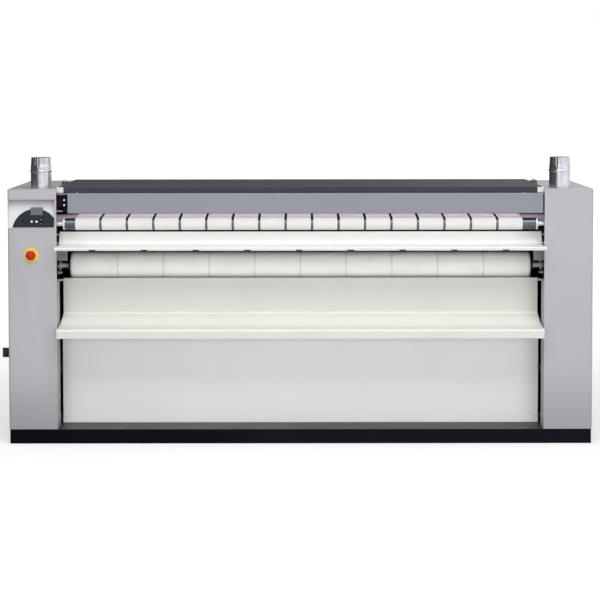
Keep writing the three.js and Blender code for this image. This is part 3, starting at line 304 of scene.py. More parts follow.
fasciaPlastic = mouldedPlastic("fasciaSlateAbs", "1E2931", "19232B", 0.5, shine=0.15)
displayPlastic = mouldedPlastic("displayGreyAcrylic", "5F6361", "5B5E5C", 0.3, depth=0.01 * mm,
                                shine=0.3)
whiteKeyPlastic = mouldedPlastic("whiteKeyAbs", "F4F4F2", "EDEDEB", 0.3)
darkKeyPlastic = mouldedPlastic("darkKeyRubber", "07090C", "0B0E12", 0.6, shine=0.1)
yellowPlastic = mouldedPlastic("yellowCollarPolyamide", "DFC32C", "D9BB24", 0.38, shine=0.25)
redPlastic = mouldedPlastic("redMushroomPolyamide", "B21D26", "AA1822", 0.35, shine=0.25)
switchPlastic = mouldedPlastic("switchBlackPolyamide", "1D1E21", "242529", 0.4)
stripperPlastic = mouldedPlastic("stripperBlackPeek", "17171A", "1E1E22", 0.5)
sensorPlastic = mouldedPlastic("sensorBlackAcrylic", "06080B", "080B0E", 0.3, shine=0.2)
print("materials made")


# Mesh helpers

def makePiece(name, mesh, material, body, nodes=(), bevel=0.0, segments=2, angle=40):
    # shades smooth up to the angle, rounds sharp edges and rides on the body
    piece = bpy.data.objects.new(name, mesh)
    scene.collection.objects.link(piece)
    materials = material if isinstance(material, list) else [material]
    for entry in materials:
        mesh.materials.append(entry)
    if bevel:
        rounding = piece.modifiers.new("roundedEdges", "BEVEL")
        rounding.width = bevel
        rounding.segments = segments
        rounding.limit_method = "ANGLE"
        rounding.angle_limit = math.radians(angle)
        rounding.harden_normals = True
        rounding.use_clamp_overlap = True
    mesh.shade_smooth()
    mesh.set_sharp_from_angle(angle=math.radians(angle))
    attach(piece, body)
    if nodes:
        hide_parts(*nodes)
    return piece


def meshOf(name, build):
    # a mesh from a function that fills a bmesh
    form = bmesh.new()
    build(form)
    bmesh.ops.recalc_face_normals(form, faces=form.faces)
    mesh = bpy.data.meshes.new(name)
    form.to_mesh(mesh)
    form.free()
    return mesh


def makeFitting(name, build, material, bevel=0.0):
    # a small piece that no node stands for, fixed to the root body
    makePiece(name, meshOf(name + ".mesh", build), material, "root", bevel=bevel)


def bodyOf(node):
    return frame["nodes"][node]["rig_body"]


def dressed(node, material, bevel, segments=2, angle=40, sort=None):
    # a copy of a node's solid, its flat faces joined and its edges rounded; sort picks face materials
    source = frame["nodes"][node]

    def build(form):
        form.from_mesh(source.data)
        bmesh.ops.remove_doubles(form, verts=form.verts, dist=0.01 * mm)
        bmesh.ops.dissolve_limit(form, angle_limit=math.radians(0.6), verts=form.verts,
                                 edges=form.edges)
        for face in form.faces:
            face.material_index = sort(face.calc_center_median(), face.normal) if sort else 0

    mesh = meshOf(node + ".mesh", build)
    return makePiece(node + ".dressed", mesh, material, bodyOf(node), [node], bevel, segments,
                     angle)


def prismAlong(form, outline, x0, x1, holes=()):
    # pushes a closed depth-and-height outline along X, its ends filled
    rings = []
    for loop in [outline, *holes]:
        left = [form.verts.new((x0, y, z)) for y, z in loop]
        right = [form.verts.new((x1, y, z)) for y, z in loop]
        count = len(loop)
        for i in range(count):
            j = (i + 1) % count
            form.faces.new((left[i], left[j], right[j], right[i]))
        rings.append((left, right))
    if not holes:
        form.faces.new(rings[0][0])
        form.faces.new(rings[0][1])
        return
    outer, inner = rings
    count = len(outline)
    for side in (0, 1):
        for i in range(count):
            j = (i + 1) % count
            form.faces.new((outer[side][i], outer[side][j], inner[side][j], inner[side][i]))


def bentLine(corners, step=5.0):
    # a line through corners (depth, height, bend radius), each bend an arc in steps of 5 degrees
    points = []
    for i, corner in enumerate(corners):
        here = Vector(corner[:2])
        radius = corner[2] if len(corner) > 2 else 0
        if not radius:
            points.append(here)
            continue
        back = (Vector(corners[i - 1][:2]) - here).normalized()
        ahead = (Vector(corners[i + 1][:2]) - here).normalized()
        half = back.angle(ahead) / 2
        middle = here + (back + ahead).normalized() * (radius / math.sin(half))
        start = here + back * (radius / math.tan(half)) - middle
        turn = (math.pi - 2 * half) * math.copysign(1, ahead.x * back.y - ahead.y * back.x)
        steps = max(3, math.ceil(abs(math.degrees(turn)) / step))
        for k in range(steps + 1):
            angle = turn * k / steps
            points.append(middle + Matrix.Rotation(angle, 2) @ start)
    return points


def sheetOutline(line, thickness):
    # the closed outline of a sheet of that thickness whose middle follows the line
    left, right = [], []
    last = len(line) - 1
    for i, point in enumerate(line):
        into = (point - line[i - 1]).normalized() if i else (line[1] - point).normalized()
        out = (line[i + 1] - point).normalized() if i < last else into
        along = (into + out).normalized()
        across = Vector((-along.y, along.x)) * (thickness / 2 / max(along.dot(into), 0.2))
        left.append(point + across)
        right.append(point - across)
    return left + right[::-1]


def turnedForm(form, profile, centre, axis, sides=64):
    # a closed profile of (radius, reach along the axis) turned round it; axis is "x", "-x", "-y" or "z"
    turn = {"x": Matrix.Rotation(math.pi / 2, 3, "Y"), "-x": Matrix.Rotation(-math.pi / 2, 3, "Y"),
            "-y": Matrix.Rotation(math.pi / 2, 3, "X"), "z": Matrix.Identity(3)}[axis]
    rings = []
    for radius, reach in profile:
        if radius < 1e-6:
            rings.append([form.verts.new(Vector(centre) + turn @ Vector((0, 0, reach)))])
            continue
        ring = []
        for k in range(sides):
            angle = math.tau * k / sides
            point = Vector((radius * math.cos(angle), radius * math.sin(angle), reach))
            ring.append(form.verts.new(Vector(centre) + turn @ point))
        rings.append(ring)
    closed = len(rings[0]) > 1 and len(rings[-1]) > 1
    pairs = list(zip(rings, rings[1:])) + ([(rings[-1], rings[0])] if closed else [])
    for low, high in pairs:
        for k in range(sides):
            m = (k + 1) % sides
            corners = [low[k % len(low)], low[m % len(low)], high[m % len(high)], high[k % len(high)]]
            unique = list(dict.fromkeys(corners))
            if len(unique) > 2:
                form.faces.new(unique)


def turnedMesh(name, profile, centre, axis, sides=64):
    return meshOf(name, lambda form: turnedForm(form, profile, centre, axis, sides))


# Places taken from the frame

def wheel(node):
    # axis of a roller or pulley, as depth and height
    low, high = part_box(node)
    return Vector(((low.y + high.y) / 2, (low.z + high.z) / 2))


coverLow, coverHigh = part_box("right_cabinet_cover")
frontY = coverLow.y
cabinetTop = coverHigh.z
innerEdge = coverLow.x
outerSide = coverHigh.x
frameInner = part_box("receiving_tray")[1].x + 0.3 * mm  # the tray runs from frame to frame
sheet = 2 * mm  # thickness of all folded sheet

# Plinth and cabinets


def plinthSort(centre, normal):
    # the plinth's upper faces take a lighter enamel: painted light from above
    return 1 if normal.z > 0.5 else 0


recess = {"foot": 976 * mm, "head": 1103 * mm, "front": 0.5 * mm, "depth": 40 * mm, "edge": 3 * mm}


def coverSort(centre, normal):
    # the console's recess is painted lighter than the cabinet round it, for the light its slope catches
    level = recess["foot"] < centre.z < recess["head"]
    behind = frontY + recess["front"] < centre.y < frontY + recess["depth"]
    between = -outerSide + recess["edge"] < centre.x < -innerEdge - recess["edge"]
    return 1 if level and behind and between else 0


framePads = {"restInside": 1097 * mm, "restFoot": cabinetTop - 18 * mm, "bracketFoot": 1060 * mm,
             "bracketDepth": 50 * mm}


def frameSort(centre, normal):
    # the hood's rests are light, the guard's bracket plum, the plates and bosses dark
    if centre.z > framePads["restFoot"] and abs(centre.x) < framePads["restInside"]:
        return 1
    bracket = centre.z > framePads["bracketFoot"] and centre.y < frontY + framePads["bracketDepth"]
    return 2 if centre.x < 0 and bracket else 0


dressed("base_plinth", [plinthEnamel, deckEnamel], 1.5 * mm, sort=plinthSort)
dressed("left_cabinet_cover", [cabinetPowder, recessPaintedLightPowder], 0.7 * mm, angle=50,
        sort=coverSort)
dressed("right_cabinet_cover", cabinetPowder, 0.7 * mm, angle=50)
dressed("rear_panel", rearPowder, 0.4 * mm)
for side in ("left", "right"):
    dressed(side + "_side_frame", [framePaint, restPowder, bracketPaint], 0.5 * mm,
            angle=50, sort=frameSort)
print("plinth, cabinets and frames dressed")

# Trays, panel, hood and guard: folded sheet with smooth bends

def foldedPiece(node, corners, material):
    low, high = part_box(node)
    outline = sheetOutline(bentLine(corners), sheet)
    mesh = meshOf(node + ".mesh", lambda form: prismAlong(form, outline, low.x, high.x))
    makePiece(node + ".folded", mesh, material, bodyOf(node), [node], 0.4 * mm)


feedShelf = {"backDepth": 110 * mm, "lean": 28 * mm, "fold": 12 * mm, "bend": 12 * mm, "lip": 13 * mm,
             "edge": 3 * mm, "clipRoom": 0.8 * mm}


def shelfPiece():
    # a leaning back, a level deck and a short lip that leaves room for the clips
    low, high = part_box("feed_shelf")
    backY = frontY + feedShelf["backDepth"]
    lipY = low.y + sheet / 2 + feedShelf["clipRoom"]
    foldedPiece("feed_shelf", [
        (backY, high.z),
        (backY - feedShelf["lean"], low.z + feedShelf["fold"], feedShelf["bend"]),
        (lipY, low.z + feedShelf["lip"], feedShelf["edge"]),
        (lipY, low.z),
    ], shelfPowder)


tray = {"half": 1088 * mm, "flange": 12 * mm, "flangeBend": 2.5 * mm, "backBend": 20 * mm,
        "sweep": 130 * mm, "fall": 50 * mm, "lip": 38 * mm, "lipBend": 5 * mm, "lipLean": 3 * mm,
        "lug": 8 * mm, "lugDrop": 5 * mm, "lugRoot": 4 * mm,
        "rearFall": 0.13, "midReach": 0.55, "midFall": 0.93}


def trayPiece():
    # flange, upright back, a concave sweep down to the front and a lip; a lug at each end hangs it
    low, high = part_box("receiving_tray")
    backY = high.y - tray["flange"]
    lipY = low.y + sheet / 2
    reach = backY - lipY
    topZ = high.z - sheet / 2
    edgeZ = low.z + tray["lip"]
    footZ = edgeZ + tray["fall"]
    outline = sheetOutline(bentLine([
        (backY + tray["flange"], topZ),
        (backY, topZ, tray["flangeBend"]),
        (backY, footZ - tray["rearFall"] * tray["fall"], tray["backBend"]),
        (backY - tray["midReach"] * reach, footZ - tray["midFall"] * tray["fall"], tray["sweep"]),
        (lipY, edgeZ, tray["lipBend"]),
        (lipY + tray["lipLean"], low.z),
    ]), sheet)
    lugHigh = high.z - tray["lugDrop"]
    lugLow, near, far = lugHigh - tray["lug"], backY - sheet / 2, backY + sheet / 2
    lug = [(near, lugHigh), (far, lugHigh), (far, lugLow), (near, lugLow)]
    root = tray["half"] - tray["lugRoot"]

    def build(form):
        prismAlong(form, outline, -tray["half"], tray["half"])
        prismAlong(form, lug, low.x, -root)
        prismAlong(form, lug, root, high.x)

    makePiece("receiving_tray.folded", meshOf("receiving_tray.mesh", build), trayPowder, "root",
              ["receiving_tray"], 0.4 * mm)


def panelPiece():
    # a flat face with a flange turned back along its top
    low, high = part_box("lower_front_panel")
    faceY, flangeZ, bend = low.y + sheet / 2, high.z - sheet / 2, 3 * mm
    foldedPiece("lower_front_panel", [(high.y, flangeZ), (faceY, flangeZ, bend), (faceY, low.z)],
                panelPowder)


hood = {"face": 27 * mm, "faceHalf": 1066 * mm, "frontBend": 4 * mm, "rearBend": 80 * mm,
        "cutFoot": 4 * mm, "cutDepth": 10 * mm}


def hoodPiece():
    # a sheet bent down at the front and rear; its front face is cut away at both ends
    low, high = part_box("hood_cover")
    faceY, rearY = low.y + sheet / 2, high.y - sheet / 2
    middle = high.z - sheet / 2
    outline = sheetOutline(bentLine([
        (faceY, high.z - hood["face"]),
        (faceY, middle, hood["frontBend"]),
        (rearY, middle, hood["rearBend"]),
        (rearY, low.z),
    ]), sheet)

    def build(form):
        prismAlong(form, outline, low.x, high.x)
        for x in (-hood["faceHalf"], hood["faceHalf"]):
            bmesh.ops.bisect_plane(form, geom=form.verts[:] + form.edges[:] + form.faces[:],
                                   plane_co=(x, 0, 0), plane_no=(1, 0, 0))
        centres = [(face, face.calc_center_median()) for face in form.faces]
        gone = [face for face, centre in centres if abs(centre.x) > hood["faceHalf"]
                and centre.z < high.z - hood["cutFoot"] and centre.y < faceY + hood["cutDepth"]]
        bmesh.ops.delete(form, geom=gone, context="FACES")
        bmesh.ops.holes_fill(form, edges=form.edges)

    makePiece("hood_cover.folded", meshOf("hood_cover.mesh", build), hoodPowder, "root",
              ["hood_cover"], 0.5 * mm)


shelfPiece()
trayPiece()
panelPiece()
hoodPiece()
dressed("finger_guard", guardPowder, 0.4 * mm, angle=35)
dressed("stripper_bar", stripperPlastic, 0.8 * mm)

shield = {"depth": 150 * mm, "foot": 928 * mm, "head": 961 * mm, "flange": 14 * mm, "bend": 3 * mm,
          "endGap": 0.4 * mm}


def shadeGapShield():
    # a dark angle between the frames, below the feed belts: a dark sheet put there for the shade in the
    # gap under the belts, which also keeps linen off the cylinder's front
    depth, foot = frontY + shield["depth"], shield["foot"]
    outline = sheetOutline(bentLine([(depth, shield["head"]), (depth, foot, shield["bend"]),
                                     (depth + shield["flange"], foot)]), sheet)
    end = frameInner - shield["endGap"]
    makeFitting("shade_gap_shield", lambda form: prismAlong(form, outline, -end, end), framePaint,
                0.4 * mm)


# the section goes round the lip, in millimetres from the shelf's lowest front edge
clips = {"count": 9, "first": -926 * mm, "pitch": 230 * mm, "width": 29 * mm,
         "section": ((0, 4.5), (0, -2.6), (1, -3.6), (5, -3.6), (5, 5), (3, 5), (3, -0.2), (0.6, -0.2),
                     (0.6, 4.5))}


def lipClips():
    # black spring clips pushed on the shelf's lip
    low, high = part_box("feed_shelf")
    outline = [(low.y + y * mm, low.z + z * mm) for y, z in clips["section"]]
    half = clips["width"] / 2

    def build(form):
        for i in range(clips["count"]):
            middle = clips["first"] + i * clips["pitch"]
            prismAlong(form, outline, middle - half, middle + half)

    makeFitting("lip_clips", build, stripperPlastic, 0.3 * mm)


shadeGapShield()
lipClips()
print("trays, hood and guard folded")

# Rollers, belts and drive

# radius of body and shaft, and half the body's length
rollers = {
    "entry_roller": {"radius": 22 * mm, "shaft": 12 * mm, "half": 1058 * mm},
    "lower_rear_roller": {"radius": 30 * mm, "shaft": 12 * mm, "half": 1058 * mm},
    "upper_rear_roller": {"radius": 30 * mm, "shaft": 12 * mm, "half": 1058 * mm},
    "nip_roller": {"radius": 22 * mm, "shaft": 10 * mm, "half": 1058 * mm},
    "feed_roller": {"radius": 25 * mm, "shaft": 10 * mm, "half": 1069 * mm},
}
shoulder = {"chamfer": 1.5 * mm, "discDepth": 3 * mm, "discEdge": 4 * mm, "shaftChamfer": 1 * mm,
            "rimRise": 1.5 * mm, "rimWidth": 9 * mm, "rimSlope": 1 * mm}
cylinderRadius = 165 * mm


def mirrored(end):
    # the profile of a bar with both ends alike, from the profile of its right end
    return end + [(radius, -reach) for radius, reach in end[::-1]]


def rollerPiece(node):
    # body with rounded shoulders and end discs set in, on a through shaft; the feed roller's ends show
    # beside the belts and have a bright raised rim
    roller = rollers[node]
    radius, shaft, half = roller["radius"], roller["shaft"], roller["half"]
    axis = wheel(node)
    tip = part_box(node)[1].x
    isFeed = node == "feed_roller"
    rim = radius + (shoulder["rimRise"] if isFeed else 0)
    disc, discZ = radius - shoulder["discEdge"], half - shoulder["discDepth"]
    rimEnd = half - shoulder["rimWidth"]
    end = [(0, tip), (shaft - shoulder["shaftChamfer"], tip), (shaft, tip - shoulder["shaftChamfer"]),
           (shaft, discZ), (disc, discZ), (disc, half), (rim - shoulder["chamfer"], half),
           (rim, half - shoulder["chamfer"]), (rim, rimEnd), (radius, rimEnd - shoulder["rimSlope"])]
    mesh = turnedMesh(node + ".mesh", mirrored(end), (0, axis.x, axis.y), "x")
    for face in mesh.polygons:
        onRim = abs(face.center.x) > rimEnd - shoulder["rimSlope"] / 2
        face.material_index = 1 if onRim and isFeed else 0
    makePiece(node + ".turned", mesh, [rollerSteel, zincPlate], bodyOf(node), [node])


# end fittings as (radius, reach) in millimetres: locking ring on the shaft, hub on the dished disc,
# and flange that keeps the belts on
returnRoller = {"radius": 57 * mm, "shaft": 12 * mm, "half": 1055 * mm, "ringPlace": 14 * mm,
                "discEnd": 11.5 * mm,
                "ring": ((12, 6), (23, 6), (24, 5), (24, 1), (23, 0), (12, 0)),
                "hub": ((12, 17), (21, 17), (22, 16), (22, 12), (44, 12), (45, 11), (45, 5)),
                "flange": ((62, 5), (63, 4), (63, 1), (62, 0))}


def returnRollerPiece():
    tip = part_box("return_roller")[1].x
    axis = wheel("return_roller")
    half, ringStart = returnRoller["half"], frameInner - returnRoller["ringPlace"]
    end = [(0, tip), (returnRoller["shaft"], tip)]
    for part, start in (("ring", ringStart), ("hub", half), ("flange", half)):
        end += [(radius * mm, start + reach * mm) for radius, reach in returnRoller[part]]
    end.append((returnRoller["radius"], half))
    mesh = turnedMesh("return_roller.mesh", mirrored(end), (0, axis.x, axis.y), "x")
    for face in mesh.polygons:
        reach = abs(face.center.x)
        face.material_index = 0 if reach < half else 1 if reach < half + returnRoller["discEnd"] else 2
    makePiece("return_roller.turned", mesh, [returnSteel, framePaint, zincPlate], "return_roller",
              ["return_roller"])


belts = {"ironing": 3 * mm, "feed": 2 * mm, "play": 0.4 * mm}


def beltLoop(wheels, thickness, step=6.0):
    # inner and outer loop round wheels given anticlockwise: axis, radius, turn +1 inside or -1 outside
    signed = [turn * (radius + belts["play"] + thickness / 2) for axis, radius, turn in wheels]
    headings = []
    for i, (axis, radius, turn) in enumerate(wheels):
        j = (i + 1) % len(wheels)
        gap = wheels[j][0] - axis
        headings.append(math.atan2(gap.y, gap.x) + math.asin((signed[i] - signed[j]) / gap.length))
    outer, inner = [], []
    for i, (axis, radius, turn) in enumerate(wheels):
        start = headings[i - 1]
        sweep = math.fmod(headings[i] - start, math.tau)
        if turn > 0 and sweep < 0:
            sweep += math.tau
        if turn < 0 and sweep > 0:
            sweep -= math.tau
        steps = max(2, math.ceil(abs(math.degrees(sweep)) / step))
        for k in range(steps + 1):
            heading = start + sweep * k / steps
            across = Vector((math.sin(heading), -math.cos(heading)))
            outer.append(axis + across * (signed[i] + thickness / 2))
            inner.append(axis + across * (signed[i] - thickness / 2))
    middle = [(a + b) / 2 for a, b in zip(outer, inner)]
    length = sum((b - a).length for a, b in zip(middle, middle[1:] + middle[:1]))
    return outer, inner, length


def beltPiece(node, wheels, thickness, material):
    low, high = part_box(node)
    outer, inner, length = beltLoop(wheels, thickness)
    mesh = meshOf(node + ".mesh", lambda form: prismAlong(form, outer, low.x, high.x, [inner]))
    piece = makePiece(node + ".woven", mesh, material, "root", [node], 0.7 * mm)


def insideWheel(node):
    return wheel(node), rollers[node]["radius"], 1


# the cylinder is outside the ironing belts' loop, the rollers inside
ironingWheels = [
    insideWheel("entry_roller"),
    (wheel("ironing_cylinder"), cylinderRadius, -1),
    (wheel("return_roller"), returnRoller["radius"], 1),
    insideWheel("lower_rear_roller"),
    insideWheel("upper_rear_roller"),
]
feedWheels = [insideWheel("feed_roller"), insideWheel("nip_roller")]

for node in rollers:
    rollerPiece(node)
returnRollerPiece()
for node in sorted(frame["nodes"]):
    if node.startswith("ironing_belt"):
        beltPiece(node, ironingWheels, belts["ironing"], ironingCloth)
    if node.startswith("feed_belt"):
        beltPiece(node, feedWheels, belts["feed"], feedCloth)

dressed("ironing_cylinder", polishedSteel, 0.6 * mm, angle=25)
dressed("motor_pulley", pulleyIron, 0.5 * mm, angle=25)
dressed("drive_belt", driveRubber, 0.6 * mm)
dressed("drive_motor", motorEnamel, 1.0 * mm)
print("rollers, belts and drive made")

# Exhaust spigots

duct = {"radius": 47 * mm, "wall": 2 * mm, "bead": 2.5 * mm, "beadHeight": 79 * mm,
        "beadHalf": 4.5 * mm, "beadFoot": 5 * mm, "crimp": 1.5 * mm, "crimpHeight": 42 * mm,
        "crimpStart": 8 * mm, "crimpRows": 8, "taper": 3 * mm, "firstTaper": 0.35, "ribs": 22,
        "sidesPerRib": 8}


def ductPiece(side):
    # a tube with a rolled bead, whose mouth is drawn in and crimped into ribs
    node = side + "_exhaust_duct"
    low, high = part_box(node)
    cx, cy = (low.x + high.x) / 2, (low.y + high.y) / 2
    r, mouth, foot = duct["radius"], high.z, low.z
    beadZ = cabinetTop + duct["beadHeight"]
    crimpFoot = mouth - duct["crimpHeight"]
    rows = [(r, foot), (r, beadZ - duct["beadFoot"])]
    for degrees in range(-75, 76, 25):
        t = math.radians(degrees)
        rows.append((r + duct["bead"] * math.cos(t), beadZ + duct["beadHalf"] * math.sin(t)))
    rows += [(r, beadZ + duct["beadFoot"]), (r, crimpFoot)]
    first = duct["firstTaper"]
    for k in range(1, duct["crimpRows"] + 1):
        share = k / duct["crimpRows"]
        drawnIn = duct["taper"] * (first + (1 - first) * share) * min(1, share * 4)
        rows.append((r - drawnIn, crimpFoot + share * duct["crimpHeight"]))
    profile = rows + [(min(radius, r) - duct["wall"], z) for radius, z in rows[::-1]]
    sides = duct["ribs"] * duct["sidesPerRib"]

    def build(form):
        rings = []
        for radius, z in profile:
            depth = min(1, max(0, (z - crimpFoot) / duct["crimpStart"])) * duct["crimp"]
            ring = []
            for k in range(sides):
                angle = math.tau * k / sides
                reach = radius - depth * (0.5 - 0.5 * math.cos(angle * duct["ribs"]))
                ring.append(form.verts.new((cx + reach * math.sin(angle),
                                            cy - reach * math.cos(angle), z)))
            rings.append(ring)
        for below, above in zip(rings, rings[1:] + rings[:1]):
            for k in range(sides):
                m = (k + 1) % sides
                form.faces.new((below[k], below[m], above[m], above[k]))

    makePiece(node + ".rolled", meshOf(node + ".mesh", build), ductSteel, "root",
              [node])


for side in ("left", "right"):
    ductPiece(side)
print("exhaust spigots rolled")

# Controls

dressed("control_fascia", fasciaPlastic, 0.6 * mm, angle=30)
dressed("display_window", displayPlastic, 0.8 * mm, segments=3)
for node in ("start_button", "stop_button"):
    dressed(node, whiteKeyPlastic, 0.5 * mm, segments=3)
for node in ("up_key", "down_key"):
    dressed(node, darkKeyPlastic, 0.4 * mm)
dressed("switch_knob", switchPlastic, 0.8 * mm)

# profiles as (radius, reach forwards) in millimetres; the button's neck runs through the collar
emergencyStop = {
    "collar": ((11.5, 0), (33, 0), (33, 1.2), (32.3, 2.2), (31.2, 2.5), (19, 2.5), (18, 3), (17, 4),
               (17, 7.2), (16.2, 8), (11.5, 8)),
    "button": ((0, -14), (14, -14), (14, -11), (11, -11), (11, 14), (19, 14), (20.6, 14.4),
               (21.4, 15.6), (21.5, 17), (21.5, 21), (21.1, 23), (19.8, 25.4), (17.4, 27.2),
               (13.5, 28.6), (8, 29.6), (0, 30)),
    "sides": 96,
}


def inMetres(profile):
    return [(radius * mm, reach * mm) for radius, reach in profile]


def stopPieces():
    low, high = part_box("estop_collar")
    x, z, sides = (low.x + high.x) / 2, (low.z + high.z) / 2, emergencyStop["sides"]
    collar = turnedMesh("estop_collar.mesh", inMetres(emergencyStop["collar"]), (x, high.y, z), "-y",
                        sides)
    makePiece("estop_collar.turned", collar, yellowPlastic, "root",
              ["estop_collar"])
    button = turnedMesh("estop_button.mesh", inMetres(emergencyStop["button"]), (x, frontY, z), "-y",
                        sides)
    makePiece("estop_button.turned", button, redPlastic, "estop_button",
              ["estop_button"])


stopPieces()

# radius, thickness and place in millimetres; the console leans back 28 mm over its 119 mm
consoleSlope = math.atan2(28, 119)
consoleSpots = {
    "flame_sensor": {"size": (6.5, 1), "place": (-1243, 4, 1008), "finish": sensorPlastic,
                     "body": "root", "slot": "dark_key_plastic"},
    "up_mark": {"size": (1.8, 1.2), "place": (-1163, 4.2, 1013.3), "finish": whiteKeyPlastic,
                "body": "up_key", "slot": "white_key_plastic"},
    "down_mark": {"size": (1.8, 1.2), "place": (-1163, -0.2, 994.8), "finish": whiteKeyPlastic,
                  "body": "down_key", "slot": "white_key_plastic"},
}


def consoleSpot(name, spot):
    # a round, slightly domed inlay that lies on the console's slope, its root 1 mm below the face
    radius, thickness = [length * mm for length in spot["size"]]
    x, depth, z = [length * mm for length in spot["place"]]
    root = -1 * mm
    profile = [(0, root), (radius, root), (radius, 0.6 * thickness), (0.8 * radius, thickness),
               (0, 1.1 * thickness)]
    mesh = turnedMesh(name + ".mesh", profile, (0, 0, 0), "-y", 32)
    place = Matrix.Translation((x, frontY + depth, z))
    mesh.transform(place @ Matrix.Rotation(-consoleSlope, 4, "X"))
    makePiece(name, mesh, spot["finish"], spot["body"])


for name, spot in consoleSpots.items():
    consoleSpot(name, spot)
print("controls made")

# Screws, bolts and end fittings

screws = {"head": ((0, -1.5), (2.2, -1.5), (2.2, 0), (4.6, 0), (4.6, 0.9), (4, 2), (2.4, 2.7),
                   (0.9, 2.8), (0.7, 1.6), (0, 1.6)),
          "wallDepth": 62 * mm, "wallHeights": (0.624, 0.4135, 0.341, 0.204, 0.116),
          "panelX": 1085 * mm, "panelHeights": (0.322, 0.095), "sides": 20}


def screwHead(form, place, axis):
    # a pan head with a dimple, its profile in millimetres
    turnedForm(form, inMetres(screws["head"]), place, axis, screws["sides"])


def inward(side):
    # the axis that points from a side wall to the machine's middle
    return "-x" if side > 0 else "x"


def screwPieces():
    # on the cabinets' inner flanges and at the panel's ends
    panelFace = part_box("lower_front_panel")[0].y

    def build(form):
        for side in (-1, 1):
            for z in screws["wallHeights"]:
                screwHead(form, (side * innerEdge, frontY + screws["wallDepth"], z), inward(side))
            for z in screws["panelHeights"]:
                screwHead(form, (side * screws["panelX"], panelFace, z), "-y")

    makeFitting("cover_screws", build, zincPlate)


# depth, height and radius of each bolt in millimetres
spacers = {"bolts": ((104, 938, 7), (94, 899, 7), (232, 751, 8)), "shoulder": 7 * mm, "slope": 8 * mm,
           "length": 21 * mm, "nose": 0.6}


def spacerBolts():
    # bright bolts between frames and shelf, and the bearings' grease nipples below them
    def build(form):
        for side in (-1, 1):
            for y, z, size in spacers["bolts"]:
                radius, nose = size * mm, size * mm * spacers["nose"]
                profile = [(0, 0), (radius, 0), (radius, spacers["shoulder"]), (nose, spacers["slope"]),
                           (nose, spacers["length"]), (0, spacers["length"])]
                turnedForm(form, profile, (side * frameInner, frontY + y * mm, z * mm), inward(side),
                           screws["sides"])

    makeFitting("spacer_bolts", build, zincPlate)


def endPlates(name, outline, leftInside, rightInside, material, bevel):
    # a prism at each end, from its inner edge to just short of the side frame
    outside = frameInner - 0.3 * mm

    def build(form):
        prismAlong(form, outline, -outside, leftInside)
        prismAlong(form, outline, rightInside, outside)

    makeFitting(name, build, material, bevel)


def uprightPlate(plate):
    # the outline of a flat plate that stands facing the front
    front, back, head = frontY + plate["front"], frontY + plate["back"], plate["head"]
    return [(front, head), (front, plate["foot"]), (back, plate["foot"]), (back, head)]


# dull plates at the ends of the stripper bar, in front of the return roller's shaft
bracket = {"front": 168.5 * mm, "back": 171 * mm, "foot": 812 * mm, "head": 864 * mm,
           "inside": 1068 * mm}


def rollerBrackets():
    endPlates("roller_brackets", uprightPlate(bracket), -bracket["inside"], bracket["inside"], dullZinc,
              0.5 * mm)


# pale sheets at both ends of the feed belts' upper run, from the last belt to the frame; the section
# is a line of (depth, height) in millimetres
sideTable = {"section": ((69, 998), (71, 1012), (74, 1014.5), (206, 1022)), "thickness": 1.5 * mm,
             "leftInside": -1016 * mm, "rightInside": 1002 * mm}


def beltSideTables():
    line = [Vector((frontY + y * mm, z * mm)) for y, z in sideTable["section"]]
    endPlates("belt_side_tables", sheetOutline(line, sideTable["thickness"]), sideTable["leftInside"],
              sideTable["rightInside"], tablePowder, 0.3 * mm)


latch = {"front": 11 * mm, "back": 13 * mm, "foot": 1046 * mm, "head": 1124 * mm, "left": -1068 * mm,
         "right": -1048 * mm, "screwX": -1061 * mm, "screwHeights": (1101 * mm, 1078.5 * mm)}


def guardLatch():
    # black strip with two bright screws beside the plum bracket
    def build(form):
        prismAlong(form, uprightPlate(latch), latch["left"], latch["right"])

    def turned(form):
        for z in latch["screwHeights"]:
            screwHead(form, (latch["screwX"], frontY + latch["front"], z), "-y")

    makeFitting("guard_latch", build, latchPaint, 0.5 * mm)
    makeFitting("latch_screws", turned, zincPlate)


ear = {"leftDepth": 358 * mm, "rightDepth": 434 * mm, "inside": 1088.5 * mm, "outside": 1114 * mm,
       "footHalf": 34 * mm, "headHalf": 24 * mm, "drop": 9.6 * mm, "rise": 5 * mm, "knobX": 1102 * mm,
       "knob": ((0, -1), (5, -1), (5, 3), (8, 4), (9, 5), (8.4, 7.6), (5, 9), (0, 9.4))}


def hoodEars():
    # black ears at the hood's ends, each with a bright clamping knob
    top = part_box("hood_cover")[1].z
    foot, head = top - ear["drop"], top + ear["rise"]
    places = ((-1, frontY + ear["leftDepth"]), (1, frontY + ear["rightDepth"]))

    def build(form):
        for side, y in places:
            outline = [(y - ear["footHalf"], foot), (y + ear["footHalf"], foot),
                       (y + ear["headHalf"], head), (y - ear["headHalf"], head)]
            prismAlong(form, outline, *sorted((side * ear["inside"], side * ear["outside"])))

    def turned(form):
        for side, y in places:
            turnedForm(form, inMetres(ear["knob"]), (side * ear["knobX"], y, head), "z", 32)

    makeFitting("hood_ears", build, stripperPlastic, 1 * mm)
    makeFitting("hood_knobs", turned, zincPlate)


screwPieces()
spacerBolts()
rollerBrackets()
beltSideTables()
guardLatch()
hoodEars()
print("fittings made")

# Camera, light and floor

camera = {"x": -1.3 * mm, "y": -8.464, "height": 1.621, "tilt": 3.043, "roll": 0.058,
          "lens": 108.47, "film": 36, "shift": -0.2}
viewer = bpy.data.cameras.new("viewer")
viewer.lens = camera["lens"]
viewer.sensor_width = camera["film"]
viewer.shift_y = camera["shift"]
viewerObject = bpy.data.objects.new("viewer", viewer)
viewerObject.location = (camera["x"], camera["y"], camera["height"])
viewerObject.rotation_euler = (math.radians(90 - camera["tilt"]), math.radians(camera["roll"]), 0)
scene.collection.objects.link(viewerObject)
scene.camera = viewerObject

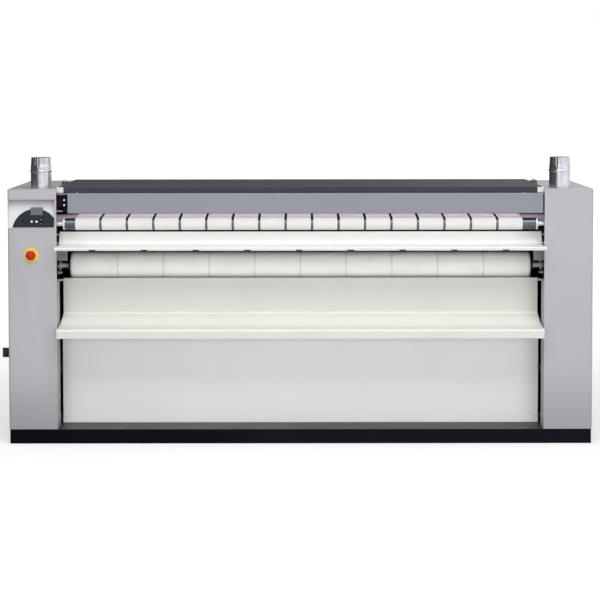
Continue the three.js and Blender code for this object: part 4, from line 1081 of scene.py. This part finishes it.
# two softboxes, and two slim lamps within the machine for what they leave in shade
lamps = {
    "frontSoftbox": {"place": (0.5, -6.8, 0.9), "aim": (0, 0, 0.7), "size": (8, 2.2), "power": 240},
    "highSoftbox": {"place": (0.5, -4.1, 5.0), "aim": (0, -0.3, 0.6), "size": (6, 2.4), "power": 186},
    "underHoodFill": {"place": (0, frontY + 0.11, 1.115), "aim": (0, frontY + 0.11, 0),
                      "size": (2.2, 0.08), "power": 1.3, "tint": "FFF0FA"},
    "shelfFill": {"place": (0, frontY, 0.915), "aim": (0, frontY + 0.1, 0.88), "size": (2.2, 0.012),
                  "power": 0.09},
}
for name, lamp in lamps.items():
    light = bpy.data.lights.new(name, "AREA")
    light.shape = "RECTANGLE"
    light.size, light.size_y = lamp["size"]
    light.energy = lamp["power"]
    light.color = colour(lamp.get("tint", "FFFFFF"))[:3]
    holder = bpy.data.objects.new(name, light)
    holder.location = lamp["place"]
    holder.visible_glossy = name == "highSoftbox"  # the others would show as streaks in the gloss
    towards = Vector(lamp["aim"]) - Vector(lamp["place"])
    holder.rotation_euler = towards.to_track_quat("-Z", "Y").to_euler()
    scene.collection.objects.link(holder)

studio = {"world": 0.46, "floor": "D2D2D2", "floorShade": "D0D0D0", "floorPatch": 0.5,
          "floorHalf": 30.0, "liftNear": 0.46, "liftFar": 0.85, "liftFrom": 1.5, "liftTo": 6.0}


def seenDirectly(tree):
    # 1 for rays from the eye, off gloss and through glass, 0 for those that carry the room's light
    path = addNode(tree, "LightPath")
    seen = maths(tree, "MAXIMUM", path.outputs["Is Camera Ray"], path.outputs["Is Glossy Ray"])
    return maths(tree, "MAXIMUM", seen, path.outputs["Is Transmission Ray"]), path


flag = {"direction": (0.94, -0.34, 0.0), "edge": -0.2, "softness": 0.14, "level": 0.06}


def flagged(tree, heading, path):
    # a white room with a dark flag at its left and behind, which shows in gloss only
    side = addNode(tree, "VectorMath", {0: heading, 1: flag["direction"]}, operation="DOT_PRODUCT")
    start, end = flag["edge"] - flag["softness"], flag["edge"] + flag["softness"]
    gloss = addNode(tree, "MapRange", {0: side.outputs["Value"], 1: start, 2: end, 3: flag["level"],
                                       4: 1.0}, interpolation_type="SMOOTHSTEP")
    isGlossy = path.outputs["Is Glossy Ray"]
    return addNode(tree, "Mix", {0: isGlossy, 2: 1.0, 3: gloss.outputs[0]}).outputs[0]


world = bpy.data.worlds.new("paleStudio")
scene.world = world
world.use_nodes = True
tree = world.node_tree
tree.nodes.clear()
seen, path = seenDirectly(tree)
shown = flagged(tree, addNode(tree, "TexCoord").outputs["Generated"], path)
level = addNode(tree, "Mix", {0: seen, 2: studio["world"], 3: shown})
sky = addNode(tree, "Background", {"Color": (1, 1, 1, 1), "Strength": level.outputs[0]})
addNode(tree, "OutputWorld", {"Surface": sky.outputs[0]})


def floorMaterial():
    # seamless paper, matt and pale. For the eye it glows, more with distance, so that it runs into the
    # white behind while the object's shadow stays on it
    material, tree = newMaterial("seamlessPaper")
    place = objectPlace(tree)
    seen, path = seenDirectly(tree)
    tone = mottle(tree, place, studio["floorPatch"], 0, 1)
    paper = tinted(tree, tone, studio["floor"], studio["floorShade"])
    matt = addNode(tree, "BsdfDiffuse", {"Color": paper})
    reach = addNode(tree, "VectorMath", {0: place}, operation="LENGTH")
    lift = addNode(tree, "MapRange", {0: reach.outputs["Value"], 1: studio["liftFrom"],
                                      2: studio["liftTo"], 3: studio["liftNear"], 4: studio["liftFar"]})
    shown = maths(tree, "MULTIPLY", seen, lift.outputs[0])
    glow = addNode(tree, "Emission", {"Color": (1, 1, 1, 1), "Strength": shown})
    total = addNode(tree, "AddShader", {0: matt.outputs[0], 1: glow.outputs[0]})
    dark = addNode(tree, "Emission", {"Strength": 0.0})
    heading = addNode(tree, "VectorMath", {0: place}, operation="NORMALIZE").outputs["Vector"]
    mixed = addNode(tree, "MixShader", {0: flagged(tree, heading, path), 1: dark.outputs[0],
                                        2: total.outputs[0]})
    addNode(tree, "OutputMaterial", {"Surface": mixed.outputs[0]})
    return material


def floorPlane():
    half = studio["floorHalf"]

    def build(form):
        corners = ((-half, -half), (half, -half), (half, half), (-half, half))
        form.faces.new([form.verts.new((x, y, 0)) for x, y in corners])

    floor = bpy.data.objects.new("floor", meshOf("floor.mesh", build))
    floor.data.materials.append(floorMaterial())
    scene.collection.objects.link(floor)


floorPlane()
scene.view_settings.view_transform = "Standard"
print("camera, light and floor set")
